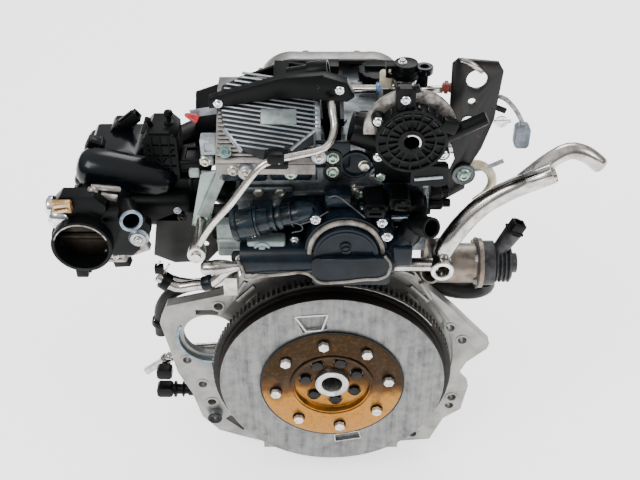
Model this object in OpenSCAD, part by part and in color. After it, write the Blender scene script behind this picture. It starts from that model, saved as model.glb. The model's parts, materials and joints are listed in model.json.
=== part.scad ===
// Car engine, dressed, seen from its flywheel end.
// Origin: crankshaft axis at the gearbox face of the block. The flywheel end is -Y, Z is up.

/* [Cylinders] */
// Number of cylinders in line
cylinders = 3; // [2:1:4]
// Bore of each cylinder
bore_d = 70; // [64:1:74]
// Distance between neighbouring bores
bore_pitch = 78; // [76:1:94]
// Gearbox face to first bore centre
first_bore_y = 52; // [50:1:62]
// Last bore centre to the timing face
last_bore_margin = 50; // [46:1:60]
// Piston stroke
stroke = 70; // [60:1:74]
// Connecting rod length, centre to centre
rod_length = 118; // [116:1:140]
// Piston pin to crown
crown_height = 24; // [20:1:28]
// Wall of the cylinder liners
liner_t = 3.5; // [2.5:0.5:4]

/* [Crankshaft] */
// Main journal radius
main_r = 24; // [20:1:28]
// Crankpin radius
pin_r = 20; // [16:1:22]
// Main bearing wall thickness
main_t = 22; // [18:1:26]
// Web thickness
web_t = 12; // [10:1:13]
// Counterweight radius
counter_r = 64; // [58:1:66]
// Rear palm radius
palm_r = 40; // [38:1:44]
// Nose radius
nose_r = 15; // [12:1:18]

/* [Flywheel] */
// Radius of the flywheel face
flywheel_r = 140; // [130:1:142]
// Radius to the ring gear tips
ring_gear_r = 150; // [148:1:156]
// Number of ring gear teeth
ring_teeth = 130; // [90:1:140]
// Flywheel face to gearbox face
flywheel_out = 45; // [40:1:55]
// Drive plate radius
plate_r = 88; // [84:1:94]
// Drive plate thickness
plate_t = 4; // [3:0.5:6]
// Pitch circle of the eight drive plate bolts
plate_bolt_pcd = 142; // [136:1:150]
// Pitch circle of the seven crankshaft bolts
crank_bolt_pcd = 66; // [62:1:68]
// Outer radius of the pilot bush
bush_r = 21; // [18:1:24]
// Pilot bore radius
pilot_r = 13; // [8:1:15]

/* [Block] */
// Half width over the crankcase
case_w = 97; // [92:1:105]
// Half width over the cylinders
barrel_w = 58; // [54:1:66]
// Depth of the crankcase below the crank axis
case_drop = 60; // [56:1:62]
// Gearbox flange thickness
flange_t = 14; // [10:1:18]
// Starter hole centre, left of the crank axis
starter_x = 154; // [150:1:158]
// Starter hole centre, above the crank axis
starter_z = 37; // [30:1:44]
// Starter hole radius
starter_r = 34; // [28:1:36]
// Flange bolt hole radius
flange_hole_r = 5.5; // [4:0.5:6.5]
// Oil pan depth below the crank axis
pan_drop = 176; // [160:1:190]
// Oil pan wall
pan_wall = 4; // [3:0.5:6]

/* [Head] */
// Half width of the head
head_w = 108; // [100:1:114]
// Height of the head
head_h = 72; // [68:1:80]
// Gasket thickness
gasket_t = 1.2; // [0.8:0.2:2]
// Camshaft distance from the middle plane
cam_x = 52; // [50:1:58]
// Camshaft journal radius
cam_r = 12; // [10:1:13]
// Cam lobe base radius
lobe_r = 14; // [13:1:15]
// Valve lift
valve_lift = 8; // [6:1:9]
// Height of the cam cover
cover_h = 28; // [27:1:36]
// Wall of the cam cover
cover_wall = 4; // [3:0.5:4]
// Timing chain run, depth
timing_d = 22; // [20:1:28]
// Cam sprocket radius
sprocket_r = 34; // [30:2:38]

/* [Intake] */
// Throttle bore radius
throttle_r = 30; // [24:1:32]
// Throttle body depth
throttle_d = 36; // [30:1:44]
// Plenum wall
plenum_wall = 3; // [2.5:0.5:4]

/* [Coolant] */
// Coolant barrel outer radius
barrel_r = 20; // [18:1:22]
// Coolant dome radius
dome_r = 42; // [38:1:44]
// Thin coolant pipe radius
pipe_r = 6.5; // [6:0.5:8]
// Large pipe outer radius
large_r = 11.5; // [10:0.5:13]
// Large pipe wall
large_wall = 1.5; // [1:0.5:2]

/* [Top] */
// Width of the finned cover
fin_w = 107; // [96:1:115]
// Number of fins
fins = 17; // [13:1:20]
// Oil separator radius
separator_r = 37; // [33:1:40]
// Fuel pump body radius
pump_r = 12; // [10:1:14]
// Lifting bracket sheet thickness
bracket_t = 4; // [3:1:6]

/* [Fits] */
// Running clearance on radius
run_c = 0.05; // [0.02:0.01:0.08]
// Open clearance between moving and fixed pieces
gap = 0.4; // [0.3:0.1:0.6]

/* [Hidden] */
$fn = 48;

bore_y = [for (i = [0:cylinders - 1]) first_bore_y + i * bore_pitch];
block_l = bore_y[cylinders - 1] + last_bore_margin;
main_y = [for (i = [0:cylinders]) i == 0 ? main_t / 2 + 4
  : i == cylinders ? block_l - main_t / 2 - 4 : (bore_y[i - 1] + bore_y[i]) / 2];
liner_r = bore_d / 2 + liner_t;
throw = stroke / 2;
deck_z = throw + rod_length + crown_height;
head_z = deck_z + gasket_t;
head_top = head_z + head_h;
cover_top = head_top + cover_h;
case_z = counter_r + 10;
drawn_deck_z = 177;
// How far the deck lies above the height that the outer pieces are drawn at.
rise = deck_z - drawn_deck_z;
lobe_tip = lobe_r + valve_lift;
wheel_y = -flywheel_out;
palm_y = -20;
bush_end = 2;
crank_bolts_n = 7;
plate_bolts_n = 8;
cranks = [for (i = [0:cylinders - 1]) 90 + i * 240];

// Helpers: straight runs, flat plates, bolts and swept pipes.

function unit(v) = v / norm(v);
function tangent(p, i) = unit(p[min(i + 1, len(p) - 1)] - p[max(i - 1, 0)]);
function carried(v, t) = unit(v - (v * t) * t);
function normals(p, n, i = 0) = i == len(p) ? []
  : let (m = carried(n, tangent(p, i))) concat([m], normals(p, m, i + 1));
function spline_at(p, i, t) =
  let (a = p[max(i - 1, 0)], b = p[i], c = p[i + 1], d = p[min(i + 2, len(p) - 1)])
  0.5 * (2 * b + (c - a) * t + (2 * a - 5 * b + 4 * c - d) * t * t
    + (3 * b - a - 3 * c + d) * t * t * t);
function curve(p, steps = 3) = concat([for (i = [0:len(p) - 2], k = [0:steps - 1])
  spline_at(p, i, k / steps)], [p[len(p) - 1]]);
function ring_points(p, n, r, sides) = [for (i = [0:len(p) - 1], j = [0:sides - 1])
  let (t = tangent(p, i), a = 360 * j / sides)
  p[i] + r * (cos(a) * n[i] + sin(a) * cross(t, n[i]))];
function side_faces(rings, sides, first, out) = [for (i = [0:rings - 2], j = [0:sides - 1])
  let (a = first + i * sides + j, b = first + i * sides + (j + 1) % sides)
  out ? [a, a + sides, b + sides, b] : [b, b + sides, a + sides, a]];

// A pipe or cord swept along points; wall 0 makes it solid.
module sweep(path, r, wall = 0, sides = 14) {
  rings = len(path);
  start = abs(tangent(path, 0).z) < 0.9 ? [0, 0, 1] : [1, 0, 0];
  n = normals(path, start);
  inner = rings * sides;
  last = (rings - 1) * sides;
  caps = wall == 0
    ? [[for (j = [0:sides - 1]) j], [for (j = [0:sides - 1]) last + sides - 1 - j]]
    : concat([for (j = [0:sides - 1]) let (k = (j + 1) % sides) [j, k, inner + k, inner + j]],
        [for (j = [0:sides - 1]) let (k = (j + 1) % sides)
          [last + k, last + j, inner + last + j, inner + last + k]]);
  polyhedron(points = concat(ring_points(path, n, r, sides),
      wall == 0 ? [] : ring_points(path, n, r - wall, sides)),
    faces = concat(side_faces(rings, sides, 0, true),
      wall == 0 ? [] : side_faces(rings, sides, inner, false), caps), convexity = 6);
}

// A straight round bar from a to b, tapering to r2 where it is given, and turned about its own axis by turn.
module bar(a, b, r, r2 = undef, turn = 0) {
  v = b - a;
  translate(a) rotate([0, acos(v.z / norm(v)), atan2(v.y, v.x)]) rotate([0, 0, turn])
    cylinder(r1 = r, r2 = is_undef(r2) ? r : r2, h = norm(v));
}
module y_cyl(p, r, h) { translate(p) rotate([-90, 0, 0]) cylinder(r = r, h = h); }
module x_cyl(p, r, h) { translate(p) rotate([0, 90, 0]) cylinder(r = r, h = h); }
module slab(lo, hi) { translate(lo) cube(hi - lo); }
// An outline drawn in X and Z, made t thick from y0 towards +Y.
module plate_y(y0, t) { translate([0, y0 + t, 0]) rotate([90, 0, 0]) linear_extrude(t) children(); }
// An outline drawn in Y and Z, made t thick from x0 towards +X.
module plate_x(x0, t) { translate([x0, 0, 0]) rotate([90, 0, 90]) linear_extrude(t) children(); }
// A rectangle with its corners cut off by c.
module cut_corners(lo, hi, c) {
  polygon([[lo.x + c, lo.y], [hi.x - c, lo.y], [hi.x, lo.y + c], [hi.x, hi.y - c],
    [hi.x - c, hi.y], [lo.x + c, hi.y], [lo.x, hi.y - c], [lo.x, lo.y + c]]);
}
// A box with the corners of its section across Y cut off.
module y_box(lo, hi, c) {
  plate_y(lo.y, hi.y - lo.y) cut_corners([lo.x, lo.z], [hi.x, hi.z], c);
}
// A flange bolt standing on a face at p, its head towards -Y and its shank towards +Y.
module rear_bolt(p, d, grip) {
  y_cyl(p - [0, 2, 0], d * 0.95, 2);
  translate(p - [0, 2 + d * 0.6, 0]) rotate([-90, 0, 0]) cylinder(r = d * 0.8, h = d * 0.6 + 0.5, $fn = 6);
  y_cyl(p - [0, 0.5, 0], d / 2, grip + 0.5);
}

// Gearbox flange: outline, bolt holes as [x, z], and dowel.

flange_outline = [[-204, 90], [-150, 104], [-122, 112], [-98, 150], [-60, 168], [60, 168], [96, 150],
  [118, 116], [150, 84], [176, 54], [200, 27], [198, 18], [174, -6], [164, -30], [180, -50],
  [174, -94], [152, -112], [136, -154], [98, -158], [-96, -158], [-128, -146], [-152, -136],
  [-174, -108], [-184, -64], [-200, -24], [-208, 24], [-215, 62]];
block_holes = [[-186, -2], [-169, -46], [148, 54], [165, 33], [-140, 90], [112, 104]];
pan_holes = [[-159, -80], [-104, -140], [160, -71], [158, -87], [112, -143]];
dowel_hole = [-156, -102];
dowel_r = 7;
slot_centre = [-155, 80];

module flange_2d() {
  difference() {
    polygon(flange_outline);
    translate([-starter_x, starter_z]) circle(r = starter_r);
    for (h = concat(block_holes, pan_holes)) translate(h) circle(r = flange_hole_r);
    translate(dowel_hole) circle(r = dowel_r);
    translate(slot_centre - [14, 4]) square([28, 8]);
    polygon([[-143, -113], [-120, -136], [-112, -128], [-136, -106]]);
    polygon([[-146, -66], [-132, -90], [-124, -84], [-134, -62]]);
  }
}
module split_2d(top) {
  translate([-250, top ? -case_drop : -case_drop - 300]) square([500, top ? 400 : 300]);
}

module engine_block() {
  mount_y = block_l - 90;
  color([0.66, 0.67, 0.68]) difference() {
    union() {
      plate_y(0, flange_t) intersection() { flange_2d(); split_2d(true); }
      slab([-case_w, 0, -case_drop], [case_w, block_l, case_z - 6]);
      slab([-barrel_w, 0, case_z - 7], [barrel_w, block_l, deck_z]);
      slab([-barrel_w - 8, 0, deck_z - 14], [barrel_w + 8, block_l, deck_z]);
      for (s = [-1, 1], y = [flange_t + 6, block_l / 2, block_l - 24])
        plate_y(y, 6) polygon([[s * (barrel_w - 1), deck_z - 30], [s * (case_w - 4), case_z - 7],
          [s * (barrel_w - 1), case_z - 7]]);
      x_cyl([barrel_w - 1, 30, 100], 8.8, 68);
      x_cyl([-150, 30, 98], 5.3, 151 - barrel_w);
      for (s = [-1, 1], x = [72, 90]) plate_x(s * x - 2, 4)
        polygon([[flange_t - 1, 20], [flange_t + 26, 20], [flange_t - 1, 110]]);
      slab([case_w - 1, mount_y, -20], [case_w + 13, mount_y + 70, 50]);
    }
    translate([0, -1, 0]) rotate([-90, 0, 0]) cylinder(r = ring_gear_r + 5, h = 5);
    translate([-starter_x, 5, starter_z]) rotate([90, 0, 0]) cylinder(r = starter_r + 5, h = 6);
    for (y = bore_y) translate([0, y, 0]) cylinder(r = liner_r, h = deck_z + 1);
    for (i = [0:cylinders - 1]) y_cyl([0, main_y[i] + main_t / 2, 0], case_z,
      main_y[i + 1] - main_y[i] - main_t);
    for (i = [0:cylinders - 1]) slab([-case_z, main_y[i] + main_t / 2, -case_drop - 1],
      [case_z, main_y[i + 1] - main_t / 2, 0]);
    for (y = main_y) slab([-36, y - main_t / 2 - 5, -case_drop - 1], [36, y + main_t / 2 + 5, 0]);
    y_cyl([0, -1, 0], main_r + run_c, block_l + 2);
    y_cyl([0, -1, 0], palm_r + 12, 5);
    bolt_holes();
    x_cyl([100, 30, 100], 6, 40);
    x_cyl([-152, 30, 98], 3.5, 60);
    for (y = [mount_y + 12, mount_y + 58], z = [-8, 38]) x_cyl([case_w - 6, y, z], 5, 20);
  }
}
module cylinder_liners() {
  color([0.45, 0.45, 0.46]) for (y = bore_y) translate([0, y, case_z - 4]) difference() {
    cylinder(r = liner_r, h = deck_z - case_z + 4);
    translate([0, 0, -1]) cylinder(r = bore_d / 2, h = deck_z);
  }
}
module main_bearing_caps() {
  color([0.4, 0.4, 0.41]) for (y = main_y) difference() {
    slab([-36, y - main_t / 2, -44], [36, y + main_t / 2, 0]);
    y_cyl([0, y - main_t, 0], main_r + run_c, 2 * main_t);
  }
}
module rear_oil_seal() {
  color([0.1, 0.1, 0.1]) difference() {
    y_cyl([0, -1, 0], palm_r + 12, 5);
    y_cyl([0, -2, 0], palm_r + run_c, 7);
  }
}
module oil_pan() {
  step_y = block_l * 0.78;
  shallow = case_drop + 56;
  color([0.6, 0.61, 0.62]) difference() {
    union() {
      plate_y(0, flange_t) intersection() { flange_2d(); split_2d(false); }
      plate_x(-case_w + 4, 2 * case_w - 8) polygon([[4, -case_drop], [block_l, -case_drop],
        [block_l, -shallow], [step_y + 12, -shallow], [step_y, -pan_drop], [4, -pan_drop]]);
      slab([-case_w, 4, -case_drop - 8], [case_w, block_l, -case_drop]);
    }
    plate_x(-case_w + 4 + pan_wall, 2 * (case_w - 4 - pan_wall)) polygon([
      [flange_t + pan_wall, 1 - case_drop], [block_l - pan_wall, 1 - case_drop],
      [block_l - pan_wall, pan_wall - shallow],
      [step_y + 12 - pan_wall, pan_wall - shallow], [step_y - pan_wall, pan_wall - pan_drop],
      [flange_t + pan_wall, pan_wall - pan_drop]]);
    x_cyl([case_w - 20, 60, 20 - pan_drop], 7, 40);
  }
}
module drain_plug() {
  plug_x = case_w - 4 - pan_wall;
  color([0.5, 0.5, 0.52]) {
    x_cyl([plug_x, 60, 20 - pan_drop], 7, pan_wall + 0.5);
    x_cyl([plug_x + pan_wall, 60, 20 - pan_drop], 11, 2);
    translate([plug_x + pan_wall + 1.5, 60, 20 - pan_drop]) rotate([0, 90, 0])
      cylinder(r = 9, h = 8, $fn = 6);
  }
}

// Head

function port_in(y, s) = [[-head_w - 1, y + s * 10, head_z + 38], [-15, y + s * 16, head_z + 4]];
function port_out(y, s) = [[14, y + s * 15, head_z + 4], [76, y + s * 9, head_z + 32]];
valve_x = 17;
valve_z = head_z + 8;
function stem_dir(side) = unit([side * (cam_x - valve_x), 0, head_top - valve_z]);
function stem_top(side) = [side * cam_x, 0, head_top] - (lobe_tip + gap) * stem_dir(side);
function valve_foot(side) = [side * valve_x, 0, valve_z];

module cylinder_head() {
  outlet_y = bore_y[floor(cylinders / 2)];
  color([0.5, 0.51, 0.52]) difference() {
    union() {
      slab([-head_w, 0, head_z], [head_w, block_l, head_top]);
      x_cyl([head_w - 1, outlet_y, head_z + 32], 30, 8);
      for (y = bore_y) slab([-head_w - 6, y - 30, head_z + 18], [-head_w + 1, y + 30, head_z + 58]);
    }
    for (y = bore_y) translate([0, y, head_z - 1]) cylinder(r = bore_d / 2 - 1, h = 9);
    for (y = bore_y, s = [-1, 1]) {
      bar(port_in(y, s)[0] - [6, 0, 0], port_in(y, s)[1], 9);
      bar(port_out(y, s)[0], port_out(y, s)[1], 8);
    }
    y_cyl([76, bore_y[0] - 12, head_z + 32], 15, bore_y[cylinders - 1] - bore_y[0] + 24);
    x_cyl([88, outlet_y, head_z + 32], 20, head_w);
    for (s = [-1, 1]) y_cyl([s * cam_x, 5, head_top], cam_r + run_c, block_l);
    bolt_holes();
    for (y = bore_y, s = [-1, 1]) slab([s > 0 ? 20 : 8 - head_w, y - 29, head_top - 34],
      [s > 0 ? head_w - 8 : -20, y + 29, head_top + 1]);
    for (y = bore_y) translate([0, y, head_z]) cylinder(r = 6, h = head_h);
    for (y = bore_y) translate([0, y, head_z + 24]) cylinder(r = 12, h = head_h);
    for (y = bore_y, s = [-1, 1], t = [-1, 1])
      translate([0, y + t * 15, 0]) {
        bar(valve_foot(s) - 9 * stem_dir(s), valve_foot(s) + 2 * stem_dir(s), 12.4);
        bar(valve_foot(s), stem_top(s) + 5 * stem_dir(s), 3.2);
      }
    for (z = [head_z + 14, head_z + 56], t = [-23, 23]) x_cyl([head_w - 12, outlet_y + t, z - 3], 4, 30);
  }
}
module head_gasket() {
  color([0.25, 0.25, 0.26]) translate([0, 0, deck_z]) linear_extrude(gasket_t) difference() {
    translate([-barrel_w - 8, 0]) square([2 * barrel_w + 16, block_l]);
    for (y = bore_y) translate([0, y]) circle(r = bore_d / 2);
  }
}
cap_place = [60, block_l - 40, cover_top + 10];
end_box = [[-18, 0, head_top + 1], [44, 30, head_top + 58]];
neck_r = 18;
module cam_cover() {
  color([0.2, 0.21, 0.22]) difference() {
    union() {
      y_box([-head_w + 4, 0, head_top], [head_w - 4, block_l, cover_top], 8);
      slab([-head_w, 0, head_top], [head_w, block_l, head_top + 6]);
      y_box(end_box[0], end_box[1], 9);
      for (y = bore_y) translate([0, y, cover_top - 1]) cylinder(r = 18, h = 5);
      translate([cap_place.x, cap_place.y, cover_top - 1]) cylinder(r = neck_r + 3, h = 11);
      for (s = [-1, 1], i = [1:cylinders - 1], t = [-20, 0, 20])
        slab([s * 56 - 22, bore_y[i] + t - 1.5, cover_top - 1],
          [s * 56 + 22, bore_y[i] + t + 1.5, cover_top + 2]);
    }
    for (s = [-1, 1]) y_cyl([s * cam_x, 5, head_top], cam_r + run_c, block_l);
    bolt_holes();
    for (y = bore_y, s = [-1, 1]) slab([s > 0 ? 18 : 10 - head_w, y - 29, head_top - 1],
      [s > 0 ? head_w - 10 : -18, y + 29, cover_top - cover_wall]);
    for (y = bore_y) translate([0, y, head_top - 1]) cylinder(r = 12, h = cover_h + 10);
    translate([cap_place.x, cap_place.y, cover_top - 10]) cylinder(r = neck_r, h = 30);
  }
}
module pistons() {
  for (i = [0:cylinders - 1]) {
    a = cranks[i];
    pin_z = throw * sin(a) + sqrt(rod_length * rod_length - pow(throw * cos(a), 2));
    color([0.7, 0.7, 0.7]) translate([0, bore_y[i], pin_z]) difference() {
      translate([0, 0, -17]) cylinder(r = bore_d / 2 - gap / 4, h = 17 + crown_height - 1);
      translate([0, 0, -18]) cylinder(r = bore_d / 2 - 6, h = 18 + crown_height - 10);
      for (z = [6, 11, 16]) translate([0, 0, z]) difference() {
        cylinder(r = bore_d / 2 + 1, h = 2);
        translate([0, 0, -1]) cylinder(r = bore_d / 2 - 3, h = 4);
      }
      rotate([90, 0, 0]) translate([0, 0, -60]) cylinder(r = 9, h = 120);
    }
    color([0.5, 0.5, 0.5]) translate([0, bore_y[i], pin_z]) rotate([90, 0, 0]) difference() {
      translate([0, 0, 3 - bore_d / 2]) cylinder(r = 9, h = bore_d - 6);
      translate([0, 0, -60]) cylinder(r = 5, h = 120);
    }
  }
}
module valves() {
  color([0.6, 0.58, 0.55]) for (y = bore_y, s = [-1, 1], t = [-1, 1]) {
    translate([0, y + t * 15, 0]) {
      bar(valve_foot(s), stem_top(s), 3);
      bar(valve_foot(s), valve_foot(s) + 1.6 * stem_dir(s), 12);
    }
  }
}

// Timing drive

module timing_2d(inset) {
  polygon([[-72 + inset, -case_drop + inset], [72 - inset, -case_drop + inset],
    [sprocket_r + cam_x + 10 - inset, head_top], [cam_x, head_top + sprocket_r + 10 - inset],
    [-cam_x, head_top + sprocket_r + 10 - inset], [-sprocket_r - cam_x - 10 + inset, head_top]]);
  for (s = [-1, 1]) translate([s * cam_x, head_top]) circle(r = sprocket_r + 10.5 - inset);
}
module timing_cover() {
  color([0.62, 0.63, 0.64]) difference() {
    plate_y(block_l, timing_d) timing_2d(0);
    plate_y(block_l - 1, timing_d - 3) timing_2d(4);
    y_cyl([0, block_l - 1, 0], nose_r + gap, timing_d + 2);
  }
}
module chain_2d(extra) {
  hull() {
    circle(r = 17 + extra);
    for (s = [-1, 1]) translate([s * cam_x, head_top]) circle(r = sprocket_r + extra);
  }
}
module timing_chain() {
  color([0.3, 0.3, 0.32]) plate_y(block_l + 5, 7) difference() {
    chain_2d(5);
    chain_2d(gap);
  }
}

// Crankshaft group

module web(y, a) {
  rotate([0, 90 - a, 0]) plate_y(y, web_t) {
    circle(r = main_r + 5);
    translate([0, throw]) circle(r = pin_r + 6);
    polygon([[-main_r, 4], [main_r, 4], [pin_r, throw + 6], [-pin_r, throw + 6]]);
    intersection() {
      circle(r = counter_r);
      polygon([[-26, 0], [26, 0], [62, -26], [62, -80], [-62, -80], [-62, -26]]);
    }
  }
}
module crankshaft() {
  color([0.5, 0.5, 0.51]) difference() {
    union() {
      y_cyl([0, palm_y, 0], palm_r, main_y[0] - main_t / 2 - palm_y - 1);
      for (y = main_y) y_cyl([0, y - main_t / 2 - 1.5, 0], main_r, main_t + 3);
      for (i = [0:cylinders - 1]) {
        web(main_y[i] + main_t / 2 + 1, cranks[i]);
        web(main_y[i + 1] - main_t / 2 - 1 - web_t, cranks[i]);
        y_cyl([throw * cos(cranks[i]), main_y[i] + main_t / 2 + web_t, throw * sin(cranks[i])], pin_r,
          main_y[i + 1] - main_y[i] - main_t - 2 * web_t);
      }
      y_cyl([0, block_l - 6, 0], nose_r, 64);
      y_cyl([0, block_l + 5, 0], 17, 7);
    }
    y_cyl([0, palm_y - 1, 0], bush_r, bush_end - palm_y + 1);
    for (i = [0:crank_bolts_n - 1]) rotate([0, -21 - i * 360 / crank_bolts_n, 0])
      y_cyl([crank_bolt_pcd / 2, palm_y - 1, 0], 4.5, 22);
    y_cyl([0, block_l + 30, 0], 7, 60);
  }
}
module pilot_bush() {
  color([0.78, 0.78, 0.78]) difference() {
    y_cyl([0, wheel_y - 1, 0], bush_r, bush_end - wheel_y + 1);
    y_cyl([0, wheel_y - 2, 0], pilot_r, 60);
  }
}
hub_y = wheel_y + 9;
module flywheel() {
  band_y = wheel_y + 17;
  color([0.68, 0.69, 0.7]) difference() {
    union() {
      y_cyl([0, wheel_y, 0], flywheel_r, 12);
      y_cyl([0, wheel_y + 11, 0], flywheel_r - 5, 8);
      y_cyl([0, band_y, 0], ring_gear_r - 8, -14 - band_y);
    }
    y_cyl([0, -14 - 6, 0], palm_r, 20);
    y_cyl([0, wheel_y - 1, 0], plate_r + gap, 2);
    y_cyl([0, wheel_y - 1, 0], 56, 10);
    y_cyl([0, wheel_y - 1, 0], bush_r, 60);
    for (a = [103, -78]) rotate([0, 9 - a, 0]) translate([0, wheel_y + 4, 0]) rotate([90, 0, 0])
      rotate_extrude(angle = 18) translate([94, 0]) square([a > 0 ? 24 : 12, 6]);
    for (i = [0:plate_bolts_n - 1]) rotate([0, -8.5 - i * 45, 0])
      y_cyl([plate_bolt_pcd / 2, wheel_y - 1, 0], 4, 16);
    for (i = [0:crank_bolts_n - 1]) rotate([0, -21 - i * 360 / crank_bolts_n, 0])
      y_cyl([crank_bolt_pcd / 2, wheel_y - 1, 0], 4.5, 60);
  }
}
module ring_gear() {
  root = ring_gear_r - 4.5;
  $fn = 200;
  color([0.55, 0.55, 0.56]) difference() {
    plate_y(wheel_y + 18, 12) union() {
      circle(r = root);
      for (i = [0:ring_teeth - 1]) rotate(i * 360 / ring_teeth)
        polygon([[root - 1, -2.4], [ring_gear_r, -1.2], [ring_gear_r, 1.2], [root - 1, 2.4]]);
    }
    y_cyl([0, wheel_y, 0], ring_gear_r - 8, 60);
  }
}
module drive_plate() {
  color([0.65, 0.47, 0.25]) difference() {
    union() {
      y_cyl([0, wheel_y + 1 - plate_t, 0], plate_r, plate_t);
      y_cyl([0, wheel_y, 0], 52, 8);
    }
    y_cyl([0, wheel_y - plate_t, 0], 47, 6 + plate_t);
    y_cyl([0, wheel_y - 10, 0], bush_r, 30);
    for (i = [0:plate_bolts_n - 1]) rotate([0, -8.5 - i * 45, 0])
      y_cyl([plate_bolt_pcd / 2, wheel_y - 10, 0], 4, 30);
    for (i = [0:crank_bolts_n - 1]) rotate([0, -21 - i * 360 / crank_bolts_n, 0])
      y_cyl([crank_bolt_pcd / 2, wheel_y - 10, 0], 8.5, 30);
  }
}
module drive_plate_bolts() {
  color([0.75, 0.74, 0.7]) for (i = [0:plate_bolts_n - 1]) rotate([0, -8.5 - i * 45, 0]) {
    y_cyl([plate_bolt_pcd / 2, wheel_y - plate_t, 0], 8, 1);
    translate([plate_bolt_pcd / 2, wheel_y - plate_t - 5, 0]) rotate([-90, 0, 0])
      cylinder(r = 6.6, h = 5.5, $fn = 6);
    y_cyl([plate_bolt_pcd / 2, wheel_y - plate_t, 0], 4, plate_t + 12);
  }
}
module crank_bolts() {
  color([0.2, 0.2, 0.21]) for (i = [0:crank_bolts_n - 1]) rotate([0, -21 - i * 360 / crank_bolts_n, 0]) {
    y_cyl([crank_bolt_pcd / 2, hub_y - 6, 0], 7, 6);
    y_cyl([crank_bolt_pcd / 2, hub_y - 1, 0], 4.5, palm_y - hub_y + 18);
  }
}
module crank_pulley() {
  pulley_y = block_l + timing_d + 4;
  color([0.15, 0.15, 0.16]) difference() {
    y_cyl([0, pulley_y, 0], 70, 26);
    for (k = [0:4]) y_cyl_ring(pulley_y + 3 + k * 4.2, 67, 72, 2);
    y_cyl([0, pulley_y + 8, 0], 52, 20);
    y_cyl([0, pulley_y - 1, 0], nose_r, 30);
  }
  color([0.15, 0.15, 0.16]) difference() {
    y_cyl([0, pulley_y + 7.5, 0], 26, 18);
    y_cyl([0, pulley_y - 1, 0], nose_r, 30);
  }
  color([0.6, 0.6, 0.6]) {
    y_cyl([0, block_l + 59, 0], 14, 4);
    translate([0, block_l + 62.5, 0]) rotate([-90, 0, 0]) cylinder(r = 11, h = 10, $fn = 6);
    y_cyl([0, block_l + 32, 0], 7, 28);
  }
}
module y_cyl_ring(y, r1, r2, h) {
  difference() {
    y_cyl([0, y, 0], r2, h);
    y_cyl([0, y - 1, 0], r1, h + 2);
  }
}

// Camshafts with their sprockets

module camshaft(side, phase) {
  x = side * cam_x;
  color([0.5, 0.5, 0.5]) {
    y_cyl([x, 6, head_top], cam_r, block_l + 6);
    y_cyl([x, block_l + 5, head_top], sprocket_r, 7);
    for (i = [0:cylinders - 1], t = [-1, 1]) translate([x, bore_y[i] + t * 15 - 6, head_top])
      rotate([0, phase - i * 120, 0]) rotate([-90, 0, 0]) {
        cylinder(r = lobe_r, h = 12);
        translate([0, lobe_tip - 6, 0]) cylinder(r = 6, h = 12);
        linear_extrude(12) polygon([[-lobe_r + 1.5, 3], [lobe_r - 1.5, 3], [5.5, lobe_tip - 5],
          [-5.5, lobe_tip - 5]]);
      }
  }
}
module intake_camshaft() { camshaft(-1, 40); }
module exhaust_camshaft() { camshaft(1, -70); }
module ignition_coils() {
  color([0.1, 0.1, 0.11]) for (y = bore_y) translate([0, y, 0]) {
    translate([0, 0, head_z + 40]) cylinder(r = 10, h = cover_top - head_z - 35);
    slab([-14, -22, cover_top + 4], [14, 22, cover_top + 14]);
    slab([-9, 14, cover_top + 13.5], [9, 34, cover_top + 24]);
  }
  color([0.8, 0.8, 0.78]) for (y = bore_y) translate([0, y, head_z + 1]) {
    cylinder(r = 5.9, h = 24);
    translate([0, 0, 23.2]) cylinder(r = 9, h = 8, $fn = 6);
    translate([0, 0, 30]) cylinder(r = 5, h = 9);
  }
}

// Oil side: filler cap, dipstick, filter

module oil_filler_cap() {
  color([0.12, 0.12, 0.12]) translate([cap_place.x, cap_place.y, 0]) {
    difference() {
      translate([0, 0, cap_place.z + gap]) cylinder(r = neck_r + 8, h = 12);
      for (a = [0:30:330]) rotate(a) translate([neck_r + 10, 0, cap_place.z]) cylinder(r = 3.5, h = 14);
    }
    translate([0, 0, cap_place.z - 8]) cylinder(r = neck_r - run_c, h = 9);
    translate([-neck_r, -3, cap_place.z + 12]) cube([2 * neck_r, 6, 6]);
  }
}
stick_foot = [-case_w - 14, block_l - 22, 20];
stick_top = [-case_w - 50, block_l - 10, 190];
module dipstick_tube() {
  color([0.6, 0.6, 0.6]) difference() {
    union() {
      bar(stick_foot, stick_top, 4.5);
      x_cyl([-case_w - 20, stick_foot.y, stick_foot.z], 9, 20);
    }
    bar(stick_foot, stick_top + (stick_top - stick_foot) * 0.2, 3.2);
  }
}
module dipstick() {
  up = unit(stick_top - stick_foot);
  color([0.85, 0.7, 0.1]) {
    bar(stick_foot + 4 * up, stick_top + 6 * up, 2.6);
    bar(stick_top + gap * up, stick_top + 14 * up, 7);
    translate(stick_top + 24 * up) rotate([90, 0, 0]) rotate_extrude() translate([11, 0]) circle(r = 3);
  }
}
module oil_filter() {
  color([0.14, 0.14, 0.15]) x_cyl([case_w, 130, -40], 30, 62);
  color([0.14, 0.14, 0.15]) x_cyl([case_w + 61.5, 130, -40], 14, 7);
}

// Intake

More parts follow.
